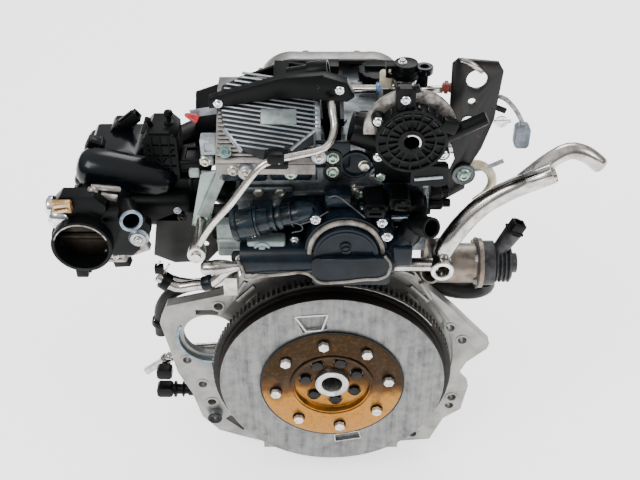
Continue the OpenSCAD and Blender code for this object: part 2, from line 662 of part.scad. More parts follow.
throttle_c = [-281, -46, head_z + 40];
spigot_l = 14;
throttle_shaft_back = 24;
flange_back = throttle_c.y + throttle_d;
module throttle_body() {
  x = throttle_c.x;
  y = throttle_c.y;
  z = throttle_c.z;
  color([0.13, 0.13, 0.14]) difference() {
    union() {
      y_cyl([x, y, z], throttle_r + 4, spigot_l + 1);
      y_cyl([x, y + spigot_l, z], throttle_r + 6, throttle_d - spigot_l);
      y_box([x - 34, flange_back - 9, z - 34], [x + 34, flange_back, z + 34], 10);
      y_box([x + 22, y + 14, z - 22], [x + 62, flange_back - 2, z + 40], 9);
      y_box([x - 30, y + 15, z + 22], [x + 30, flange_back - 2, z + 58], 12);
      y_box([x + 54, y + 16, z + 4], [x + 76, y + 28, z + 24], 5);
      bar([x + 48, y + 34, z + 30], [x + 58, y + 6, z + 34], 13, 12);
    }
    y_cyl([x, y - 1, z], throttle_r, throttle_d + 2);
    x_cyl([x - 34, y + throttle_shaft_back, z], 5 + run_c, 76);
    bar([x + 50.8, y + 26, z + 31.2], [x + 59.5, y + 2, z + 34.6], 9);
    for (s = [-1, 1], t = [-1, 1]) y_cyl([x + s * 28, y, z + t * 28], 2.9, 60);
  }
}
module throttle_plate() {
  shaft_y = throttle_c.y + throttle_shaft_back;
  color([0.75, 0.6, 0.35]) {
    y_cyl([throttle_c.x, shaft_y - 1, throttle_c.z], throttle_r - gap, 2);
    x_cyl([throttle_c.x - 33, shaft_y, throttle_c.z], 5, 74);
  }
}
manifold_y = flange_back + 0.2;
plenum_lo = [-302, 30, head_z + 30];
plenum_hi = [-206, 146, head_z + 84];
neck_end = [-254, 48, head_z + 56];
runner_r = 17;
runner_in = [for (i = [0:cylinders - 1]) [-222, plenum_lo.y + 26 + i * 68 / (cylinders - 1), head_z + 56]];
module intake_manifold() {
  w = plenum_wall;
  port_x = -head_w - 26;
  color([0.1, 0.1, 0.11]) difference() {
    union() {
      y_box([throttle_c.x - 36, manifold_y, throttle_c.z - 36],
        [throttle_c.x + 36, manifold_y + 12, throttle_c.z + 36], 10);
      y_cyl([throttle_c.x, manifold_y, throttle_c.z], throttle_r + 5, 22);
      bar([throttle_c.x, manifold_y + 16, throttle_c.z], neck_end, throttle_r + 3, turn = 90);
      y_box(plenum_lo, plenum_hi, 20);
      for (i = [0:cylinders - 1]) {
        bar(runner_in[i], [port_x, bore_y[i], head_z + 58], runner_r);
        bar([port_x - 4, bore_y[i], head_z + 60], [-head_w - 7, bore_y[i], head_z + 40], runner_r + 1);
        slab([-head_w - 16, bore_y[i] - 30, head_z + 18], [-head_w - 6, bore_y[i] + 30, head_z + 58]);
      }
      y_box([-216, 44, head_z + 62], [-178, 88, head_z + 134], 8);
    }
    y_cyl([throttle_c.x, manifold_y - 1, throttle_c.z], throttle_r, 23);
    bar([throttle_c.x, manifold_y + 18, throttle_c.z], neck_end, throttle_r - 1, turn = 90);
    slab([-head_w - 6, -1, head_z], [0, block_l, head_top + 60]);
    slab([throttle_c.x - 60, manifold_y - 60, 0], [throttle_c.x + 80, manifold_y, head_top + 60]);
    y_box(plenum_lo + [w, w, w], plenum_hi - [w, w, w], 18);
    for (i = [0:cylinders - 1]) {
      bar(runner_in[i], [port_x, bore_y[i], head_z + 58], runner_r - w);
      bar([port_x - 4, bore_y[i], head_z + 60], [-head_w - 5, bore_y[i], head_z + 38], runner_r - w);
    }
  }
}

// Coolant side at the flywheel end of the head

barrel_z = deck_z + 19;
dome_c = [14, -48, deck_z + 36];
barrel_y = -34;
elbow_mouth = [106, -58, head_top + 4];
bolt_face_y = -12;
housing_bolt_places = [[-24, head_top - 2], [54, head_top - 1], [70, head_top - 32], [-50, deck_z + 66],
  [-72, deck_z + 44], [-108, deck_z - 1], [62, deck_z - 12], [-40, deck_z - 16]];
case_bolt_places = [[-84, head_top + 14], [-60, head_top + 14], [0, head_top + 44], [24, head_top + 16],
  [34, head_top + 48]];
module bolt_holes() {
  for (b = housing_bolt_places) y_cyl([b.x, -1, b.y], 3, 6);
  for (b = case_bolt_places) y_cyl([b.x, -1, b.y], 3.5, 6);
}
module coolant_housing() {
  color([0.1, 0.1, 0.11]) difference() {
    union() {
      x_cyl([-105, barrel_y, barrel_z], barrel_r, 174);
      y_cyl([dome_c.x, barrel_y - 6, dome_c.z], dome_r + 4, 40);
      y_box([-60, -10, deck_z - 4], [70, 0, head_top + 6], 14);
      for (b = housing_bolt_places) y_cyl([b.x, bolt_face_y, b.y], 11, -bolt_face_y);
      y_box([-100, -26, barrel_z - 12], [80, 0, barrel_z + 12], 4);
      bar([62, barrel_y, barrel_z + 4], [84, barrel_y, head_top - 22], 14, 14);
    }
    x_cyl([-106, barrel_y, barrel_z], barrel_r - 4, 168);
    y_cyl([dome_c.x, barrel_y - 8, dome_c.z], dome_r - 4, 34);
    for (b = housing_bolt_places) y_cyl([b.x, bolt_face_y - 1, b.y], 3, 20);
  }
}
module coolant_cover() {
  face_y = barrel_y - 6;
  color([0.2, 0.2, 0.2]) difference() {
    union() {
      y_cyl([dome_c.x, face_y - 5, dome_c.z], dome_r + 4, 5);
      y_cyl([dome_c.x, face_y - 14, dome_c.z], dome_r - 6, 10);
      y_box([dome_c.x - dome_r + 4, face_y - 18, barrel_z - 22],
        [dome_c.x + dome_r + 8, face_y - 3, barrel_z + 16], 4);
      y_cyl([dome_c.x, face_y - 16, dome_c.z + 8], 5, 4);
    }
    y_cyl([dome_c.x, face_y - 10, dome_c.z], dome_r - 10, 12);
    x_cyl([-200, barrel_y, barrel_z], barrel_r, 400);
  }
}
module coolant_elbow() {
  foot = [84, barrel_y, head_top - 22.5];
  knee = foot + [4, 2, 14];
  out = unit(elbow_mouth - knee);
  color([0.12, 0.12, 0.13]) difference() {
    union() {
      bar(foot, foot + [6, -4, 18], 14, 13);
      bar(knee, elbow_mouth, 12);
      y_box([72, barrel_y + 4, head_top - 12], [104, 0, head_top + 14], 4);
    }
    bar(knee + 4 * out, elbow_mouth + out, 9.2);
  }
}
module housing_bolts() {
  color([0.78, 0.77, 0.72]) {
    for (b = housing_bolt_places) rear_bolt([b.x, bolt_face_y, b.y], 6, 4 - bolt_face_y);
    for (b = case_bolt_places) rear_bolt([b.x, 0, b.y], 7, 4);
  }
}
module barrel_sensor() {
  a = [-112, -32, deck_z + 61];
  b = [-22, -32, deck_z + 82];
  d = unit(b - a);
  color([0.1, 0.12, 0.15]) {
    bar(a, a + 26 * d, 17, 17);
    bar(a + 25 * d, a + 42 * d, 14, 13);
    bar(a + 41 * d, b - 16 * d, 11, 11);
    bar(a + 52 * d, a + 57 * d, 14, 14);
    bar(b - 17 * d, b, 13, 9);
    y_box([-94, -28, deck_z + 60], [-68, 0, deck_z + 74], 3);
  }
}
module sensor_plugs() {
  color([0.09, 0.09, 0.1]) {
    y_box([32, -40, head_top + 10.5], [58, 0, head_top + 22], 3);
    y_box([60, -36, head_top + 15], [84, 0, head_top + 27], 3);
    difference() {
      union() {
        y_box([-264, 98, plenum_hi.z - 6], [-238, 124, plenum_hi.z + 26], 4);
        y_box([-294, 76, plenum_hi.z - 26], [-268, 102, plenum_hi.z + 12], 4);
      }
      y_box(plenum_lo, plenum_hi, 20);
    }
  }
}
left_route = [[-105.5, barrel_y, barrel_z - 12], [-122, barrel_y, 176 + rise], [-140, -34, 158 + rise],
  [-162, -30, 150 + rise], [-184, -28, 146 + rise], [-204, -26, 160 + rise]];
module coolant_pipe_left() {
  color([0.72, 0.73, 0.74]) {
    sweep(curve(left_route), pipe_r, 1);
    sweep(curve([[-126, -20, 150], [-150, -14, 138], [-184, -8, 136], [-204, -2, 142]]), pipe_r, 1);
    slab([-128, -30, 134], [-112, 0, 160]);
  }
}
module clamp_ring(a, b, r) {
  difference() {
    bar(a, b, r + 1.6);
    bar(a - (b - a), b + (b - a), r);
  }
}
module hose_clamps() {
  color([0.2, 0.2, 0.21]) translate([0, 0, rise]) {
    clamp_ring([-192, -27, 150], [-200, -26, 156], pipe_r + 2.6);
    slab([-206, -32, 168], [-196, -24, 178]);
  }
  color([0.6, 0.6, 0.6]) clamp_ring([-219, 30, 42], [-221, 30, 34], 9.6);
}
hose_route = [[-140, 30, 98], [-160, 30, 101], [-182, 30, 97], [-204, 30, 84], [-217, 30, 62], [-220, 30, 36],
  [-221, 30, 18]];
module left_hose() { color([0.08, 0.08, 0.08]) sweep(curve(hose_route), 8, 2.5); }
module stub_pipe() {
  color([0.7, 0.7, 0.7]) {
    difference() {
      bar([-250, 40, -62], [-196, 40, -20], 5.5);
      bar([-251, 40, -62.8], [-214, 40, -34], 4);
    }
    bar([-196, 40, -20], [-96, 40, -10], 5.5);
    translate([-196, 40, -20]) sphere(6.4);
    bar([-224, 40, -42], [-220, 40, -38.5], 8);
  }
}
module pressure_switch() {
  color([0.08, 0.08, 0.09]) {
    x_cyl([-192, 20, -76], 9, 10);
    x_cyl([-214, 20, -76], 7, 23);
    y_box([-234, 12, -84], [-213, 28, -68], 3);
    y_box([-232, 16, -54], [-212, 30, -38], 3);
    x_cyl([-182.5, 20, -76], 5, 96);
  }
}
module side_plate() {
  color([0.2, 0.21, 0.22]) translate([0, 0, rise]) {
    difference() {
      plate_y(14, 5) polygon([[-214, 160], [-206, 212], [-176, 226], [-136, 214], [-128, 176], [-150, 150],
        [-190, 148]]);
      y_cyl([-152, 0, 176], 5, 20);
    }
    slab([-140, 14, 178], [-head_w, 18, 200]);
  }
}
module coolant_pipe_right() {
  color([0.7, 0.71, 0.72]) {
    x_cyl([69.5, barrel_y, barrel_z - 12], 8, 50);
    difference() {
      y_cyl([124, barrel_y - 12, barrel_z - 12], 13, 46);
      y_cyl([124, barrel_y - 13, barrel_z - 12], 8, 20);
    }
  }
}
large_route = [[126, -24, barrel_z - 2], [128, -30, 208], [142, -26, 232], [164, -22, 258], [190, -22, 278],
  [214, -26, 294]];
large_mouth = [236, -30, 308];
mouth_dir = unit(large_mouth - large_route[5]);
branch_route = [[206, -20, 290], [232, -8, 306], [256, 0, 316], [276, 0, 312], [294, 0, 298]];
module large_pipe() {
  color([0.75, 0.75, 0.74]) {
    difference() {
      union() {
        sweep(curve(large_route), large_r);
        bar(large_route[5] - 2 * mouth_dir, large_mouth, large_r);
        sweep(curve(branch_route), large_r - 2);
      }
      bar(large_mouth - 40 * mouth_dir, large_mouth + mouth_dir, large_r - large_wall);
    }
  }
}

// Exhaust gas recirculation on the right

egr_c = [158, 14, 148];
module egr_housing() {
  x = egr_c.x;
  color([0.62, 0.58, 0.52]) difference() {
    union() {
      x_cyl([x - 46, egr_c.y, egr_c.z], 24, 60);
      x_cyl([x + 13, egr_c.y, egr_c.z], 30, 8);
      slab([head_w, 2, egr_c.z - 6], [x - 40, 36, head_z + 22]);
      bar([x - 30, egr_c.y, egr_c.z], [x - 44, egr_c.y - 26, egr_c.z + 2], 14, 12);
    }
    x_cyl([x - 40, egr_c.y, egr_c.z], 16, 70);
    bar([x - 30, egr_c.y, egr_c.z], [x - 45, egr_c.y - 28, egr_c.z + 2], 9);
  }
}
module egr_actuator() {
  x = egr_c.x + 21;
  color([0.3, 0.3, 0.31]) {
    difference() {
      union() {
        x_cyl([x, egr_c.y, egr_c.z], 27, 14);
        x_cyl([x + 13, egr_c.y, egr_c.z], 20, 22);
      }
      x_cyl([x - 1, egr_c.y, egr_c.z], 14, 30);
    }
    x_cyl([x + 34, egr_c.y, egr_c.z], 12, 8);
    bar([x + 18, egr_c.y, egr_c.z + 16], [x + 34, egr_c.y, egr_c.z + 48], 9, 11);
    bar([x + 9, 18, 108], [x + 9, 18, 126], 8.5);
  }
}
module egr_valve() {
  color([0.6, 0.6, 0.6]) {
    x_cyl([egr_c.x - 16, egr_c.y, egr_c.z], 4, 46);
    x_cyl([egr_c.x - 20, egr_c.y, egr_c.z], 16 - gap, 4);
  }
}
right_route = [[112, 30, 100], [132, 30, 99], [156, 28, 94], [176, 24, 97], [188, 20, 107], [188, 18, 118]];
module right_hose() { color([0.07, 0.07, 0.08]) sweep(curve(right_route), 12, 3); }

// Top accessories

cover_foot = -28;
module finned_cover() {
  x0 = -fin_w - 20;
  foot_z = head_top + 66;
  top_z = cover_top + 92;
  lean = atan2(top_z - foot_z, 68);
  rise = norm([68, top_z - foot_z]);
  color([0.72, 0.73, 0.74]) {
    difference() {
      plate_x(x0, fin_w) polygon([[cover_foot, foot_z], [cover_foot + 68, top_z],
        [cover_foot + 96, top_z], [cover_foot + 110, cover_top + 60], [cover_foot + 110, cover_top],
        [0, cover_top], [0, foot_z - 12], [cover_foot, foot_z - 12]]);
      plate_x(x0 + 5, fin_w - 10) polygon([[cover_foot + 8, foot_z], [cover_foot + 70, top_z - 6],
        [cover_foot + 92, top_z - 6], [cover_foot + 104, cover_top + 58], [cover_foot + 104, cover_top - 1],
        [6, cover_top - 1], [6, foot_z - 6], [cover_foot + 8, foot_z - 6]]);
    }
    translate([x0, cover_foot, foot_z]) rotate([lean, 0, 0]) {
      for (i = [0:fins - 1]) translate([2, 4 + i * (rise - 5) / fins, -1]) cube([fin_w - 4, 2, 6]);
      translate([38, 30, -1]) cube([36, 26, 8]);
      translate([1, 1, -3]) cube([fin_w - 2, 4, 8]);
    }
  }
}
module top_bracket() {
  z = cover_top + 88;
  color([0.08, 0.08, 0.09]) {
    difference() {
      plate_y(12, 14) polygon([[-134, z - 4], [-134, z + 6], [-56, z + 30], [-10, z + 34], [14, z + 26],
        [22, z + 10], [14, z + 4], [-30, z + 8], [-60, z + 8]]);
      y_cyl([6, 0, z + 18], 4, 40);
    }
    plate_y(20, 5) polygon([[-9, end_box[1].z], [9, end_box[1].z], [6, z + 9], [-14, z + 9]]);
    slab([-66, 14, z + 8], [-50, 88, z + 14]);
    plate_y(83, 5) polygon([[-163, cover_top - 8], [-157, z - 25], [-52, z + 14], [-20, z + 8],
      [-20, cover_top + 4], [-112, cover_top + 4], [-128, cover_top - 8]]);
  }
}
module breather_elbow() {
  z = cover_top + 108;
  color([0.5, 0.48, 0.55]) difference() {
    union() {
      bar([-50, 42, z], [-22, 40, z + 6], 8);
      translate([-40, 42, cover_top + 92]) cylinder(r = 6, h = 18);
    }
    bar([-46, 42, z + 0.8], [-20, 39.8, z + 6.4], 5.5);
  }
  color([0.07, 0.07, 0.07]) difference() {
    bar([-28, 41, z + 4.7], [-6, 39, z + 9], 10.5);
    bar([-29, 41, z + 4.5], [-4, 38.8, z + 9.4], 8);
  }
}
oil_route = [[-3, 4, cover_top + 96], [-2, -6, cover_top + 90], [0, -18, cover_top + 76],
  [-10, -38, cover_top + 66], [-44, -48, cover_top + 62], [-72, -52, cover_top + 56],
  [-88, -56, cover_top + 40], [-110, -58, cover_top + 8], [-132, -54, head_top + 6],
  [-150, -50, head_top - 26]];
module oil_feed_pipe() {
  color([0.72, 0.72, 0.7]) {
    sweep(curve(oil_route), 4, 0, 12);
    y_cyl([-152, -58, head_top - 34], 10, 14);
    y_cyl([-152, -64, head_top - 34], 6, 76);
    plate_y(6, 4) polygon([[-148, head_top + 34], [-127.5, head_top + 34],
      [-127.5, head_top + 26], [-144, head_top - 44],
      [-164, head_top - 40]]);
  }
}
disc_c = [79, -46, cover_top + 80];
module oil_separator() {
  color([0.09, 0.09, 0.1]) {
    difference() {
      union() {
        y_cyl([disc_c.x, disc_c.y, disc_c.z], separator_r, 14);
        y_cyl([disc_c.x, disc_c.y + 13, disc_c.z], separator_r - 6, 30);
        y_cyl([disc_c.x, disc_c.y - 4, disc_c.z], 14, 6);
        for (a = [0:20:340]) rotate_about(disc_c, a) slab([-1.2, -2.4, 13], [1.2, 2, separator_r - 2]);
        y_cyl_ring_at([disc_c.x, disc_c.y - 3, disc_c.z], 24, 26, 4);
        y_cyl_ring_at([disc_c.x, disc_c.y - 3, disc_c.z], separator_r - 3, separator_r, 4);
        for (a = [20, 150, 215, 330]) y_cyl([disc_c.x + (separator_r + 3) * cos(a), disc_c.y + 4,
          disc_c.z + (separator_r + 3) * sin(a)], 7, 10);
        y_box([disc_c.x - 34, disc_c.y + 40, cover_top], [disc_c.x + 28, 36, disc_c.z + 14], 8);
      }
      y_cyl([disc_c.x, disc_c.y - 5, disc_c.z], 8, 24);
      y_cyl([disc_c.x, disc_c.y + 4, disc_c.z], separator_r - 9, 34);
    }
    y_box([disc_c.x + 2, disc_c.y + 2, disc_c.z - 58],
      [disc_c.x + 42, disc_c.y + 12, disc_c.z - separator_r + 4], 3);
    y_box([disc_c.x - 18, disc_c.y + 2, disc_c.z + separator_r - 6],
      [disc_c.x + 2, disc_c.y + 12, disc_c.z + separator_r + 22], 4);
    bar([disc_c.x + separator_r - 4, disc_c.y + 9, disc_c.z - 2],
      [disc_c.x + separator_r + 40, disc_c.y + 9, disc_c.z + 22], 8, 7);
    bar([disc_c.x - 30, 10, cover_top + 54], [disc_c.x - 60, 10, cover_top + 62], 21, 18);
  }
}
module rotate_about(c, a) { translate(c) rotate([0, a, 0]) children(); }
module y_cyl_ring_at(p, r1, r2, h) {
  difference() {
    y_cyl(p, r2, h);
    y_cyl(p - [0, 1, 0], r1, h + 2);
  }
}
module separator_ring() {
  color([0.75, 0.75, 0.76]) difference() {
    y_cyl([disc_c.x, disc_c.y + 17.5, disc_c.z], separator_r + 12, 6);
    y_cyl([disc_c.x, disc_c.y, disc_c.z], separator_r - 6, 30);
    slab([disc_c.x - 80, disc_c.y, disc_c.z - 80], [disc_c.x + 80, disc_c.y + 40, disc_c.z - 4]);
  }
}
pump_c = [79, 58, cover_top];
module fuel_pump() {
  color([0.7, 0.7, 0.71]) translate(pump_c) {
    cylinder(r = pump_r, h = 100);
    cylinder(r = pump_r + 8, h = 14);
    rotate([0, -90, 0]) translate([82, 0, pump_r - 2]) cylinder(r = 5, h = 66);
    rotate([0, -90, 0]) translate([82, 0, pump_r + 4]) cylinder(r = 8, h = 10, $fn = 6);
  }
}
module fuel_pump_cap() {
  color([0.07, 0.07, 0.08]) translate(pump_c + [0, 0, 100]) {
    cylinder(r = pump_r + 4, h = 8);
    cylinder(r = pump_r + 1, h = 15);
    difference() {
      translate([-22, -7, 0]) cube([18, 14, 14]);
      translate([-16, -8, 7]) rotate([-90, 0, 0]) cylinder(r = 4, h = 16);
    }
    translate([12.5, -6, -14]) cube([12, 12, 16]);
  }
}
module lifting_bracket() {
  color([0.09, 0.09, 0.1]) translate([0, 0, rise]) difference() {
    plate_y(6, bracket_t) polygon([[126, 276], [134, 300], [124, 340], [122, 418],
      [128, 424], [170, 420], [176, 410],
      [172, 352], [162, 316], [150, 290], [148, 262], [head_w + 3, 236], [head_w + 3, 262]]);
    y_cyl([149, 0, 400], 11, 20);
    y_cyl([146, 0, 374], 4, 20);
    y_cyl([144, 0, 350], 4.5, 20);
    y_cyl([140, 0, 286], 4, 20);
  }
  color([0.09, 0.09, 0.1]) translate([0, 0, rise]) slab([head_w, 6, 226], [head_w + 4, 40, 252]);
}

// Free lead with its connector

lead_route = [[176, 14, 376], [182, 10, 375], [188, 6, 371], [194, 4, 364], [199, 3, 356], [203, 2, 348]];
module pigtail() { color([0.4, 0.4, 0.4]) translate([0, 0, rise]) sweep(curve(lead_route, 2), 2.5, 0, 8); }
module pigtail_connector() {
  p = lead_route[5] + [0, 0, rise];
  color([0.45, 0.45, 0.46]) y_box(p + [-8, -7, -26], p + [8, 7, 0], 3);
}

engine_block();
cylinder_liners();
main_bearing_caps();
rear_oil_seal();
oil_pan();
drain_plug();
cylinder_head();
head_gasket();
cam_cover();
pistons();
valves();
timing_chain();
timing_cover();
ignition_coils();
dipstick_tube();
oil_filter();
intake_manifold();
throttle_body();
finned_cover();
top_bracket();
breather_elbow();
oil_feed_pipe();
coolant_housing();
coolant_cover();
coolant_elbow();
housing_bolts();
barrel_sensor();
sensor_plugs();
coolant_pipe_left();
hose_clamps();
left_hose();
stub_pipe();
pressure_switch();
coolant_pipe_right();
large_pipe();
egr_housing();
egr_actuator();
right_hose();
oil_separator();
separator_ring();
fuel_pump();
fuel_pump_cap();
lifting_bracket();
pigtail();
pigtail_connector();
side_plate();
crankshaft();
pilot_bush();
flywheel();
ring_gear();
drive_plate();
drive_plate_bolts();
crank_bolts();
crank_pulley();
intake_camshaft();
exhaust_camshaft();
throttle_plate();
egr_valve();
oil_filler_cap();
dipstick();
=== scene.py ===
"""A dressed car engine: its camera, its light and the look of every visible surface."""

import json
import logging
import math
from dataclasses import dataclass
from enum import Enum
from typing import Iterable, Sequence

import bpy
from mathutils import Matrix, Vector


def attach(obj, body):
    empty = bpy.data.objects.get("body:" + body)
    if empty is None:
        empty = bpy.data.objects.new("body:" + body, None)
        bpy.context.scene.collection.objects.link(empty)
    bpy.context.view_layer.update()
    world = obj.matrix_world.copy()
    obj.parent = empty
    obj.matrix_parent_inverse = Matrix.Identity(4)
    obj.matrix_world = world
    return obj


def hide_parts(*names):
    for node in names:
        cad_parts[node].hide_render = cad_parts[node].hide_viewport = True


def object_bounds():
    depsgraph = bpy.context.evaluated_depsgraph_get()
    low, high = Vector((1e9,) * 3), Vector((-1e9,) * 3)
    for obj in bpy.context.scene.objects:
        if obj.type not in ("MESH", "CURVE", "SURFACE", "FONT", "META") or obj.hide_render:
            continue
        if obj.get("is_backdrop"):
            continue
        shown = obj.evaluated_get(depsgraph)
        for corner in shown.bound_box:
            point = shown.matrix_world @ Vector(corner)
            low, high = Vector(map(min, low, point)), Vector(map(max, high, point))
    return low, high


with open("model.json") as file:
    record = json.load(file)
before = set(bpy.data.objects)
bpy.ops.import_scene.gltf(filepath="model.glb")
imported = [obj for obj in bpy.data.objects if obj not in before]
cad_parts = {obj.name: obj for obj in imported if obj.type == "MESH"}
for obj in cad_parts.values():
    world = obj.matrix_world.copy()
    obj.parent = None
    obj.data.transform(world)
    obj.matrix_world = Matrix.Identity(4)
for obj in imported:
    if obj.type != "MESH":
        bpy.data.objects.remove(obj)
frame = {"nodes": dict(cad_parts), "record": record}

LOG = logging.getLogger("engine")
MM = 0.001
# Edges flatter than this are shaded smooth.
SMOOTH_BELOW = math.radians(38)
# Neighbouring faces this close to flat become one, so that a rounded edge runs evenly.
FLAT_WITHIN = math.radians(0.6)
# Corners this close, in metres, are one corner.
WELD = 2e-6
# The least cosine between a face's normal and the way that it is said to look.
FACING = 0.9
# The colour sockets of a Mix node, which share their names with its other sockets.
MIX_A, MIX_B, MIX_OUT = 6, 7, 2


class Axis(Enum):
    """The direction that a piece's own +Z is laid along."""

    FRONT = (0.0, -1.0, 0.0)
    BACK = (0.0, 1.0, 0.0)
    UP = (0.0, 0.0, 1.0)
    DOWN = (0.0, 0.0, -1.0)
    RIGHT = (1.0, 0.0, 0.0)
    LEFT = (-1.0, 0.0, 0.0)


Piece = bpy.types.Object
Socket = bpy.types.NodeSocket
Point = Sequence[float]
Way = Axis | Point

# ---------------------------------------------------------------- bench work


def vec(point: Point) -> Vector:
    """A place given in millimetres, in metres."""
    return Vector(point) * MM


def deselect() -> None:
    """Leaves nothing selected, in object mode."""
    if bpy.context.mode != "OBJECT":
        bpy.ops.object.mode_set(mode="OBJECT")
    bpy.ops.object.select_all(action="DESELECT")


def only(piece: Piece) -> None:
    """Makes one piece the only one selected, and the active one."""
    deselect()
    piece.select_set(True)
    bpy.context.view_layer.objects.active = piece


def edit(piece: Piece, mode: str = "FACE", everything: bool = True) -> None:
    """Opens a piece in edit mode.

    Args:
        piece: the piece to open.
        mode: what is selected by hand, VERT, EDGE or FACE.
        everything: selects all of it, or nothing.
    """
    only(piece)
    bpy.ops.object.mode_set(mode="EDIT")
    bpy.ops.mesh.select_mode(type=mode)
    bpy.ops.mesh.select_all(action="SELECT" if everything else "DESELECT")


def close(piece: Piece) -> Piece:
    """Leaves edit mode with every face turned outwards, and returns the piece."""
    bpy.ops.mesh.select_all(action="SELECT")
    bpy.ops.mesh.normals_make_consistent(inside=False)
    bpy.ops.object.mode_set(mode="OBJECT")
    return piece


def named(name: str) -> Piece:
    """Names the primitive just made, and returns it."""
    piece = bpy.context.active_object
    piece.name = piece.data.name = name
    return piece


def finish_edges(piece: Piece, width: float, segments: int = 2, angle: float = 32) -> Piece:
    """Rounds the sharp edges and shades the rest smooth.

    Args:
        piece: the piece to finish.
        width: width of the rounding in millimetres.
        segments: faces across the rounding.
        angle: edges sharper than this many degrees are rounded.

    Returns:
        The same piece.
    """
    only(piece)
    if width:
        bevel = piece.modifiers.new("rounding", "BEVEL")
        bevel.width = width * MM
        bevel.segments = segments
        bevel.limit_method = "ANGLE"
        bevel.angle_limit = math.radians(angle)
        bevel.use_clamp_overlap = True
        bpy.ops.object.modifier_apply(modifier=bevel.name)
    bpy.ops.object.shade_smooth_by_angle(angle=SMOOTH_BELOW)
    return piece


def lay(piece: Piece, at: Point, way: Way = Axis.UP, turn: float = 0) -> Piece:
    """Moves a piece's mesh to its place, and leaves its object at the origin.

    Args:
        piece: the piece, modelled round its own +Z.
        at: where its own origin goes, in millimetres.
        way: where its +Z points.
        turn: degrees that it is turned about its own +Z first.

    Returns:
        The same piece.
    """
    aim = Vector(way.value if isinstance(way, Axis) else way).normalized()
    tilt = Vector(Axis.UP.value).rotation_difference(aim).to_matrix().to_4x4()
    spin = Matrix.Rotation(math.radians(turn), 4, "Z")
    piece.data.transform(Matrix.Translation(vec(at)) @ tilt @ spin)
    piece.data.update()
    return piece


def turned(name: str, profile: Sequence[Point], sides: int = 48, width: float = 0.4) -> Piece:
    """Turns a round solid about +Z.

    Args:
        name: the piece's name.
        profile: (radius, height) of each step from the foot up, in millimetres.
        sides: faces round it.
        width: rounding of its edges in millimetres.

    Returns:
        The closed solid.
    """
    radius, height = profile[0]
    bpy.ops.mesh.primitive_circle_add(vertices=sides, radius=radius * MM, fill_type="NGON",
                                      location=(0, 0, height * MM))
    piece = named(name)
    only(piece)
    bpy.ops.object.transform_apply(location=True, rotation=True, scale=True)
    edit(piece)
    for next_radius, next_height in profile[1:]:
        bpy.ops.mesh.extrude_region()
        bpy.ops.transform.translate(value=(0, 0, (next_height - height) * MM))
        ratio = next_radius / radius
        bpy.ops.transform.resize(value=(ratio, ratio, 1), center_override=(0, 0, 0))
        radius, height = next_radius, next_height
    return finish_edges(close(piece), width)


def boxed(name: str, low: Point, high: Point, width: float = 1.0, segments: int = 2) -> Piece:
    """A block between two corners, with its edges rounded but not yet shaded.

    Args:
        name: the piece's name.
        low: lowest corner in millimetres.
        high: highest corner.
        width: rounding of its edges, in millimetres.
        segments: faces across the rounding.

    Returns:
        The block, with its place in its mesh.
    """
    low, high = Vector(low), Vector(high)
    bpy.ops.mesh.primitive_cube_add(size=1, location=(low + high) / 2 * MM)
    piece = named(name)
    piece.scale = (high - low) * MM
    only(piece)
    bpy.ops.object.transform_apply(location=True, rotation=True, scale=True)
    if width:
        edit(piece, "EDGE")
        bpy.ops.mesh.bevel(offset=width * MM, segments=segments, affect="EDGES")
        close(piece)
    return piece


def face_towards(piece: Piece, way: Axis) -> None:
    """In an open piece, selects the largest face that looks a given way."""
    bpy.ops.object.mode_set(mode="OBJECT")
    facing = [face for face in piece.data.polygons if face.normal.dot(Vector(way.value)) > FACING]
    best = max(facing, key=lambda face: face.area)
    for face in piece.data.polygons:
        face.select = face.index == best.index
    bpy.ops.object.mode_set(mode="EDIT")


def sink(piece: Piece, way: Axis, wall: float, depth: float) -> Piece:
    """Cuts a pocket into the largest face that looks a given way.

    Args:
        piece: the piece to cut.
        way: the direction that the face looks.
        wall: width of the rim that is left, in millimetres.
        depth: depth of the pocket in millimetres.

    Returns:
        The same piece.
    """
    edit(piece, "FACE", everything=False)
    face_towards(piece, way)
    bpy.ops.mesh.inset(thickness=wall * MM, depth=0)
    bpy.ops.mesh.extrude_region()
    bpy.ops.transform.translate(value=Vector(way.value) * -depth * MM)
    return close(piece)


def sheet_cut(name: str, outline: Sequence[Point], thick: float, width: float = 0.4) -> Piece:
    """A plate cut to an outline in its own XY plane, rising along its own +Z.

    Args:
        name: the piece's name.
        outline: corners in millimetres.
        thick: its thickness in millimetres.
        width: rounding of its edges in millimetres.

    Returns:
        The plate.
    """
    bpy.ops.mesh.primitive_circle_add(vertices=len(outline), radius=1, fill_type="NGON")
    piece = named(name)
    for vertex, (x, y) in zip(piece.data.vertices, outline):
        vertex.co = vec((x, y, 0))
    edit(piece)
    bpy.ops.mesh.extrude_region()
    bpy.ops.transform.translate(value=(0, 0, thick * MM))
    return finish_edges(close(piece), width)


def curve_through(name: str, points: Sequence[Point], radius: float) -> Piece:
    """A round curve through points.

    Args:
        name: the curve's name.
        points: the path in millimetres.
        radius: its radius in millimetres.

    Returns:
        The curve, on one open spline with closed ends.
    """
    curve = bpy.data.curves.new(name, "CURVE")
    curve.dimensions = "3D"
    curve.bevel_depth = radius * MM
    curve.bevel_resolution = 6
    curve.use_fill_caps = True
    line = curve.splines.new("BEZIER")
    line.bezier_points.add(len(points) - 1)
    for knot, place in zip(line.bezier_points, points):
        knot.co = vec(place)
        knot.handle_left_type = knot.handle_right_type = "AUTO"
    piece = bpy.data.objects.new(name, curve)
    bpy.context.collection.objects.link(piece)
    return piece


